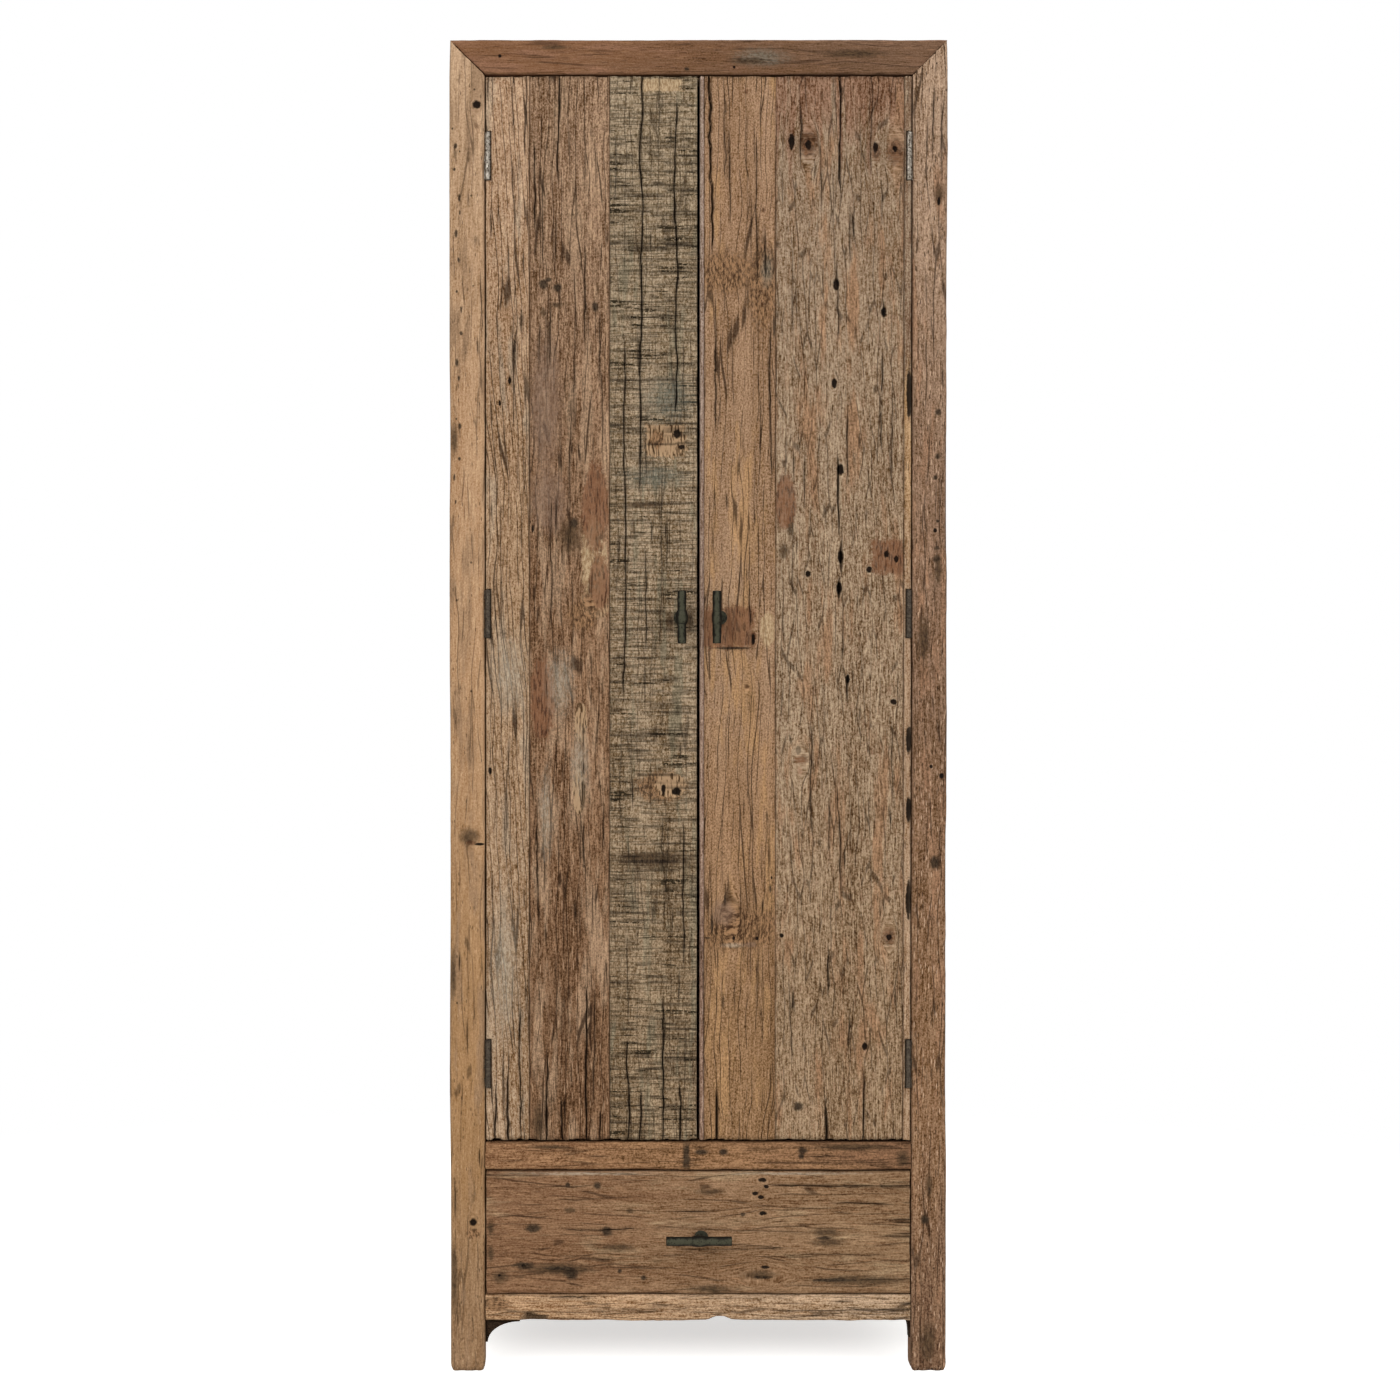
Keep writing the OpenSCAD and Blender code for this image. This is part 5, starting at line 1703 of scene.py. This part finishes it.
@dataclass
class ForgedHandle:
    """A hand-forged bar on a collar, a stem and a round rose.

    The shares are of the bar's half thickness and of its length; the other sizes are in millimetres.
    """

    name: str
    bar_node: str
    stem_node: str
    body: str
    bar_share: float = 0.74
    collar_share: float = 0.27
    collar_round: float = 1.0
    rose_offset: float = 0.0
    rose_thick: float = 4.0
    sides: int = 28
    bar_dent: float = 0.6
    collar_dent: float = 0.7
    rose_dent: float = 0.8

    def rod(self, name: str, centre: Vector, radius: float, length: float, axis: int, rings: int) -> Piece:
        """Add a round bar along an axis, with rings to shape it by and softened ends.

        Args:
            name: The object's name.
            centre: Its middle.
            radius: Its radius.
            length: Its length.
            axis: The axis that it lies along.
            rings: How many cells its length is cut into.

        Returns:
            The bar.
        """
        bpy.ops.object.select_all(action="DESELECT")
        turn = ((0, math.pi / 2, 0), (math.pi / 2, 0, 0), (0, 0, 0))[axis]
        bpy.ops.mesh.primitive_cylinder_add(
            vertices=self.sides, radius=radius, depth=length, location=centre, rotation=turn
        )
        piece = bpy.context.object
        piece.name = piece.data.name = name
        bpy.ops.object.transform_apply(location=True, rotation=True, scale=True)
        cut_edges(piece, axis, rings, 0.5 * length)
        rim = np.abs(np.abs(points(piece)[:, axis] - centre[axis]) - length / 2) < 1e-6
        edit_edges(piece, rim[edge_ends(piece)].all(1))
        bpy.ops.mesh.bevel(offset=0.12 * radius, segments=2, affect="EDGES")
        bpy.ops.object.mode_set(mode="OBJECT")
        return piece

    def hammer(self, piece: Piece, centre: Vector, axis: int, depth: float) -> None:
        """Beat shallow flats into a bar, always inward.

        Args:
            piece: The bar.
            centre: Its middle.
            axis: The axis that it lies along.
            depth: The deepest dent, in metres.
        """
        places, middle = points(piece), np.array(centre)
        others = [a for a in range(3) if a != axis]
        spoke = places[:, others] - middle[others]
        radius = np.linalg.norm(spoke, axis=1) + 1e-9
        angle = np.arctan2(spoke[:, 1], spoke[:, 0])
        noise = Noise(seed_of(self.name))
        along = (places[:, axis] - middle[axis]) / (9 * MM)
        flats = noise.at(along + 7, 1.4 * np.cos(angle) + 2), noise.at(along, 1.4 * np.sin(angle) + 5)
        shrink = np.clip(1 - depth * smooth(1.5 * flats[0] * flats[1] * 2) / radius, 0.6, 1)
        places[:, others] = middle[others] + spoke * shrink[:, None]
        set_points(piece, places)

    def swell(self, piece: Piece, centre: Vector, axis: int) -> None:
        """Narrow a collar's ends, so that it swells in the middle.

        Args:
            piece: The collar.
            centre: Its middle.
            axis: The axis that it lies along.
        """
        places, middle = points(piece), np.array(centre)
        others = [a for a in range(3) if a != axis]
        along = places[:, axis] - middle[axis]
        share = 1 - 0.22 * np.abs(along / np.abs(along).max()) ** 2.5
        places[:, others] = middle[others] + (places[:, others] - middle[others]) * share[:, None]
        set_points(piece, places)

    def finished(self, rods: list[Piece], part: str, node: str) -> Piece:
        """Join a part's rods, shade their round sides smooth and dress them.

        Args:
            rods: The part's rods.
            part: What the part is.
            node: The CAD node that it replaces.

        Returns:
            The part.
        """
        piece = joined(rods, f"{self.name}_{part}")
        smooth_faces(piece, IRON_ANGLE)
        dress(piece, FORGED_IRON.build(), self.body, "forged_iron", node)
        return piece

    def build(self) -> None:
        """Build the bar with its collar, and the stem with its rose."""
        low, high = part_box(self.bar_node)
        centre, size = (low + high) / 2, high - low
        axis = max((0, 2), key=lambda a: size[a])
        thick = size[1] / 2
        bar = self.rod(f"{self.name}_rod", centre, self.bar_share * thick, size[axis], axis, 24)
        self.hammer(bar, centre, axis, self.bar_dent * MM)
        wide, long = self.collar_round * thick, self.collar_share * size[axis]
        collar = self.rod(f"{self.name}_collar", centre, wide, long, axis, 6)
        self.hammer(collar, centre, axis, self.collar_dent * MM)
        self.swell(collar, centre, axis)
        bar = self.finished([bar, collar], "bar", self.bar_node)
        # The 'held' value paints light on the faces turned to the front and shade on the flanks.
        forward = -rows_of(bar.data.vertices, "normal", 3, float)[:, 1]
        write_attribute(bar, "held", "FLOAT", np.clip(forward, 0.0, 1.0) ** 4 - 0.5)
        stem_low, stem_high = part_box(self.stem_node)
        mid = (stem_low + stem_high) / 2
        # The doors and the drawer's front stand in one plane.
        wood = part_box("left_door_inner_plank")[0].y
        stem_middle = Vector((mid.x, (centre.y + wood) / 2, mid.z))
        stem = self.rod(f"{self.name}_stem_rod", stem_middle, 0.5 * thick, wood - centre.y, 1, 6)
        rose_middle = Vector((mid.x + self.rose_offset * MM, wood - self.rose_thick * MM / 2, mid.z))
        rose_radius = (stem_high.x - stem_low.x) / 2
        rose = self.rod(f"{self.name}_rose", rose_middle, rose_radius, self.rose_thick * MM, 1, 2)
        self.hammer(rose, Vector((mid.x, wood, mid.z)), 1, self.rose_dent * MM)
        self.finished([stem, rose], "stem", self.stem_node)


@dataclass
class Drawer:
    """The drawer: its weathered front, and its plain box behind."""

    cell: Pair = (2.4, 6.0)

    def build(self) -> None:
        """Build the front and the box."""
        wear = Wear(wave=1.0, arris=1.8, dents=40, seam=0.4, checks=26)
        cracks = cracks_of(
            (300, 96, 341.5, 2.4, 4, 1.2), (258, -60, 40, 1.6, 3, 1.5), (168, -170, -20, 1.2, 2, 2),
            (317, -341.5, -230, 1.6, 2, 1), (137, 120, 300, 1, 1.5, 3),
        )
        front = OldBoard("drawer_front_wood", "drawer_front", DRAWER_WOOD, self.cell, 1.2, wear, cracks)
        front.build("drawer", "brown_plank")
        for part in ("sides", "back", "bottom"):
            PlainPart(f"drawer_{part}_wood", f"drawer_{part}", INNER_WOOD).build("drawer", "plain_wood")


@dataclass
class Carcass:
    """The back posts, the side, back and top boards and their rails."""

    cell: Pair = (5.0, 16.0)
    rail_cell: Pair = (4.0, 12.0)

    def build(self) -> None:
        """Build every board behind the front frame."""
        plans = (
            ("back_post_left", POST_WOOD, Face.LEFT, "brown_plank"),
            ("back_post_right", POST_WOOD, Face.RIGHT, "brown_plank"),
            ("left_side_rails", POST_WOOD, Face.LEFT, "brown_plank"),
            ("right_side_rails", POST_WOOD, Face.RIGHT, "brown_plank"),
            ("back_rails", POST_WOOD, Face.BACK, "brown_plank"),
            ("left_side_planks", SIDE_WOOD, Face.LEFT, "tan_plank"),
            ("right_side_planks", SIDE_WOOD, Face.RIGHT, "tan_plank"),
            ("back_planks", BACK_WOOD, Face.BACK, "grey_plank"),
            ("top_planks", TOP_WOOD, Face.TOP, "grey_plank"),
        )
        wear = Wear(seam=0.45, dents=8)
        for node, finish, face, slot in plans:
            tongued = node.endswith("_planks")
            cell = self.cell if tongued else self.rail_cell
            board = OldBoard(f"{node}_wood", node, finish, cell, 1.5, wear, face=face, tongued=tongued)
            board.build("carcass", slot)


@dataclass
class Inside:
    """The floor, the shelf and the other plain parts inside."""

    nodes: tuple[str, ...] = (
        "wardrobe_floor", "hat_shelf", "shelf_cleats", "hanging_rail_sockets",
        "drawer_runners", "drawer_guides", "drawer_stops", "door_stop",
    )

    def build(self) -> None:
        """Build the plain wooden parts."""
        for node in self.nodes:
            PlainPart(f"{node}_wood", node, INNER_WOOD).build("carcass", "plain_wood")


@dataclass
class Metalwork:
    """The hinges, screws, plates, catches and the hanging rail, which keep their CAD shapes."""

    bright: tuple[str, ...] = ("top_frame_leaf", "top_door_leaf", "door_screws", "strike_plate")
    dark: tuple[str, ...] = ("lower_frame_leaves", "lower_door_leaves", "hinge_pins")
    single: tuple[str, ...] = ("frame_hinge_screws", "hanging_rail")
    moulded: tuple[str, ...] = ("magnetic_catches",)

    def build(self) -> None:
        """Give each metal node and the catches their finish, the same on both sides."""
        sides = ("left", "right")
        bright = [f"{side}_{name}" for name in self.bright for side in sides] + list(self.single)
        dark = [f"{side}_{name}" for name in self.dark for side in sides]
        for finish, names in ((WORN_STEEL, bright), (DARK_STEEL, dark), (CATCH_PLASTIC, self.moulded)):
            material = finish.build()
            for name in names:
                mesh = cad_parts[name].data
                mesh.materials.clear()
                mesh.materials.append(material)
                LOG.info("%s: finished in %s", name, material.name)


# ---- the two doors


def door_board(
    side: str, part: str, kind: str, finish: OldWood, wear: Wear, *cracks: tuple, **rest: object
) -> OldBoard:
    """Describe one board of a door, a plank or a strip, with its cracks as rows and what else it has."""
    shape = {"cell": (2.0, 6.0), "arris": 1.0, "wear": wear, "cracks": cracks_of(*cracks)} | rest
    return OldBoard(f"{side}_door_{part}_wood", f"{side}_door_{part}_{kind}", finish, **shape)


def left_door() -> PlankDoor:
    """Describe the left door: a tan, a red-brown and a saw-marked plank.

    Returns:
        The door.
    """
    wear = Wear(wave=1.2, ridge=0.6, arris=1.2, low_end=3.2, high_end=1.6, dents=30, seam=0.28, checks=45)
    outer = door_board(
        "left", "outer", "plank", LEFT_OUTER_WOOD, wear,
        (-327, 373, 470, 3, 7), (-305, 373, 500, 3.2, 7), (-287, 373, 600, 2.2, 5),
        (-296, 1500, 1720, 1.4, 2.5), (-318, 1180, 1420, 1.2, 2),
        lean=0.05,
    )
    centre = door_board(
        "left", "centre", "plank", LEFT_CENTRE_WOOD, wear,
        (-226, 1900, 2082, 3, 6), (-262, 1820, 1990, 2.2, 5), (-184, 1640, 1830, 2, 4),
        (-244, 373, 520, 3.4, 8), (-218, 373, 450, 3, 7), (-179, 373, 640, 3, 7),
        (-157, 373, 430, 2.6, 6), (-200, 1500, 1800, 1.4, 2.5), (-236, 1180, 1420, 1.6, 3),
        (-185, 800, 1050, 2, 4), (-258, 700, 900, 2, 4),
    )
    inner = door_board(
        "left", "inner", "plank", LEFT_INNER_WOOD, wear,
        (-92, 1400, 2082, 3, 7, 3), (-119, 1080, 1660, 2.6, 5), (-36, 1525, 2058, 3, 7, 4),
        (-113, 373, 560, 3, 7), (-94, 373, 470, 3, 7), (-57, 373, 620, 3, 7),
        (-30, 373, 480, 3.6, 8), (-60, 1150, 1470, 1.4, 2.5), (-24, 640, 900, 2.4, 5),
        cell=(2.2, 4.0), saw_lines=(400.0, 2000.0),
    )
    return PlankDoor("left", (outer, centre, inner), ("tan_plank", "brown_plank", "grey_plank"))


def right_door() -> PlankDoor:
    """Describe the right door: an edge strip, an orange-tan and a wide grey plank, and a hinge strip.

    Returns:
        The door.
    """
    wear = Wear(wave=1.2, ridge=0.6, arris=1.2, low_end=2.4, high_end=1.6, dents=30, seam=0.22, checks=45)
    strip_wear = Wear(wave=0.3, ridge=0.2, arris=0.6, dents=4, seam=0.5)
    edge = door_board("right", "edge", "strip", EDGE_STRIP_WOOD, strip_wear, arris=0.8)
    inner = door_board(
        "right", "inner", "plank", RIGHT_INNER_WOOD, wear,
        (18, 1785, 2082, 4.2, 9, 5), (46, 1900, 2075, 1.6, 3, 5), (93, 1740, 2000, 1.8, 3.5, 2),
        (30, 373, 470, 7, 9, 1), (28, 1500, 1740, 2, 4), (84, 1180, 1290, 2, 4, 3),
        (58, 560, 660, 1.2, 2), (116, 1420, 1700, 2.2, 4, 2),
        lean=-0.02,
    )
    outer = door_board(
        "right", "outer", "plank", RIGHT_OUTER_WOOD, wear,
        (226, 1880, 2082, 3.4, 8, 2.5), (250, 1810, 1870, 2.4, 5), (222, 1640, 1800, 1.6, 3),
        (224, 1335, 1490, 3.6, 8, 2.5), (229, 1275, 1345, 5, 9, 1), (226, 1235, 1285, 5.5, 10, 1),
        (238, 1420, 1560, 2.4, 5, 2), (232, 1130, 1230, 2, 4), (240, 1070, 1130, 3.4, 6),
        (210, 590, 700, 2.8, 6), (226, 760, 960, 2, 4), (206, 373, 440, 5, 9),
        (266, 373, 500, 2.6, 6), (297, 1690, 1730, 2.6, 5), (150, 480, 640, 1.4, 3),
        (312, 900, 1060, 1.4, 3), (243, 500, 590, 2.2, 4),
        lean=0.02,
    )
    hinge = door_board("right", "hinge", "strip", HINGE_STRIP_WOOD, strip_wear, arris=0.8)
    slots = ("tan_plank", "tan_plank", "grey_plank", "tan_plank")
    return PlankDoor("right", (edge, inner, outer, hinge), slots)


# ---- studio


@dataclass
class Studio:
    """The floor, the lights and the camera: sizes in metres, the pitch in degrees, the sensor in millimetres.

    The floor glows a little where it is near, and least under the middle of the case, which paints a shadow
    there over the real one.
    """

    distance: float = 5.0
    eye_height: float = 1.08
    eye_x: float = -0.2
    pitch: float = 0.74
    view_width: float = 2.25
    middle_x: float = 0.0026
    middle_z: float = 1.0817
    world_strength: float = 0.66
    case_middle_y: float = 0.15
    painted_shadow_reach: Pair = (0.08, 0.38)
    glow_with_painted_shadow: Pair = (0.61, 0.88)
    paper_reach: Pair = (1.2, 3.0)
    sensor: float = 36.0
    handle_reach: float = 0.05
    floor_size: float = 60.0
    lamp_target: tuple[float, float, float] = (0, 0, 1.05)

    def seen(self, tree: Tree) -> Socket:
        """Tell what the camera sees, directly, in a gloss or through glass, from what only gives light.

        Args:
            tree: The material's nodes.

        Returns:
            1 for what the camera sees, and 0 for light.
        """
        rays = add_node(tree, "LightPath").outputs
        result = rays["Is Camera Ray"]
        for ray in ("Is Glossy Ray", "Is Transmission Ray"):
            result = add_node(tree, "Math", {0: result, 1: rays[ray]}, operation="MAXIMUM").outputs[0]
        return result

    def build_floor(self) -> None:
        """Lay a pale floor that is white where it is lit and keeps the soft shadow under the armoire,
        deepened by a painted shadow under the middle of the case.
        """
        bpy.ops.object.select_all(action="DESELECT")
        bpy.ops.mesh.primitive_plane_add(size=self.floor_size, location=(0, 0, 0))
        floor = bpy.context.object
        floor.name = "studio_floor"
        material, tree = new_material("matt_white_studio_paper_with_painted_shadow")
        seen = self.seen(tree)
        place = add_node(tree, "TexCoord").outputs["Object"]
        # Painted shadow: the glow is weakest near the middle of the case and grows towards its front and
        # back.
        deep = add_node(tree, "VectorMath", {0: place, 1: (0, 1, 0)}, operation="DOT_PRODUCT")
        away = add_node(tree, "Math", {0: deep.outputs["Value"], 1: self.case_middle_y}, operation="SUBTRACT")
        away = add_node(tree, "Math", {0: away}, operation="ABSOLUTE")
        painted_shadow_fade = {"Value": away, "From Min": self.painted_shadow_reach[0], "From Max": self.painted_shadow_reach[1]}
        painted_shadow_fade |= {"To Min": self.glow_with_painted_shadow[0], "To Max": self.glow_with_painted_shadow[1]}
        share = add_node(tree, "MapRange", painted_shadow_fade, interpolation_type="SMOOTHSTEP")
        fill = add_node(tree, "Math", {0: seen, 1: share}, operation="MULTIPLY")
        glow_with_painted_shadow = add_node(tree, "Emission", {"Color": WHITE, "Strength": fill})
        paper = add_node(tree, "BsdfDiffuse", {"Color": linear("#e8e8e4")})
        near = add_node(tree, "AddShader", {0: paper, 1: glow_with_painted_shadow})
        far = add_node(tree, "Emission", {"Color": WHITE, "Strength": seen})
        reach = add_node(tree, "VectorMath", {0: place}, operation="LENGTH").outputs["Value"]
        edge = {"Value": reach, "From Min": self.paper_reach[0], "From Max": self.paper_reach[1]}
        share = add_node(tree, "MapRange", edge, interpolation_type="SMOOTHSTEP")
        mixed = add_node(tree, "MixShader", {0: share, 1: near, 2: far})
        add_node(tree, "OutputMaterial", {"Surface": mixed})
        floor.data.materials.append(material)

    def build_lights(self) -> None:
        """Hang a large soft lamp on each side of the camera and light the rest from all round."""
        lamps = (
            ("key_lamp", (-2.2, -3.6, 2.6), 2.6, 78.0),
            ("fill_lamp", (2.6, -3.4, 1.8), 2.6, 51.0),
            ("top_lamp", (0.0, -0.8, 4.2), 2.4, 30.0),
        )
        for name, place, size, power in lamps:
            data = bpy.data.lights.new(name, "AREA")
            data.shape, data.size, data.energy = "SQUARE", size, power
            lamp = bpy.data.objects.new(name, data)
            lamp.location = place
            aim = Vector(self.lamp_target) - Vector(place)
            lamp.rotation_euler = aim.to_track_quat("-Z", "Y").to_euler()
            bpy.context.scene.collection.objects.link(lamp)
        world = bpy.data.worlds.new("white_studio")
        world.use_nodes = True
        tree = world.node_tree
        tree.nodes.clear()
        level = {"Value": self.seen(tree), "To Min": self.world_strength, "To Max": 1.0}
        sky = add_node(tree, "Background", {"Color": WHITE, "Strength": add_node(tree, "MapRange", level)})
        add_node(tree, "OutputWorld", {"Surface": sky})
        bpy.context.scene.world = world

    def build_camera(self) -> None:
        """Stand the camera in front, a little left of the middle, and look slightly down."""
        # The distance is measured from the doors, and the handles reach out in front of them.
        front = CAD_BOX[0].y + self.handle_reach
        data = bpy.data.cameras.new("studio_camera")
        data.sensor_width = self.sensor
        data.lens = self.sensor * self.distance / self.view_width
        camera = bpy.data.objects.new("studio_camera", data)
        camera.location = (self.eye_x, front - self.distance, self.eye_height)
        camera.rotation_euler = (math.radians(90 - self.pitch), 0, 0)
        data.shift_x = (self.middle_x - self.eye_x) / self.view_width
        aim = self.eye_height - self.distance * math.tan(math.radians(self.pitch))
        data.shift_y = (self.middle_z - aim) / self.view_width
        data.clip_end = 100.0
        bpy.context.scene.collection.objects.link(camera)
        bpy.context.scene.camera = camera

    def build(self) -> None:
        """Build the studio."""
        self.build_floor()
        self.build_lights()
        self.build_camera()
        bpy.context.scene.view_settings.view_transform = "Standard"


def main() -> None:
    """Build the studio and every sub-assembly."""
    Studio().build()
    FrontFrame().build()
    left_door().build()
    right_door().build()
    Drawer().build()
    Carcass().build()
    Inside().build()
    Metalwork().build()
    for body, shape in (
        ("left_door", {}),
        ("right_door", {"rose_offset": 7.0, "collar_round": 0.86}),
        ("drawer", {"bar_share": 0.66, "collar_round": 0.76, "rose_offset": 5.0}),
    ):
        names = (f"{body.removesuffix('_door')}_handle_{part}" for part in ("iron", "bar", "stem"))
        ForgedHandle(*names, body, **shape).build()


if __name__ == "__main__":
    main()
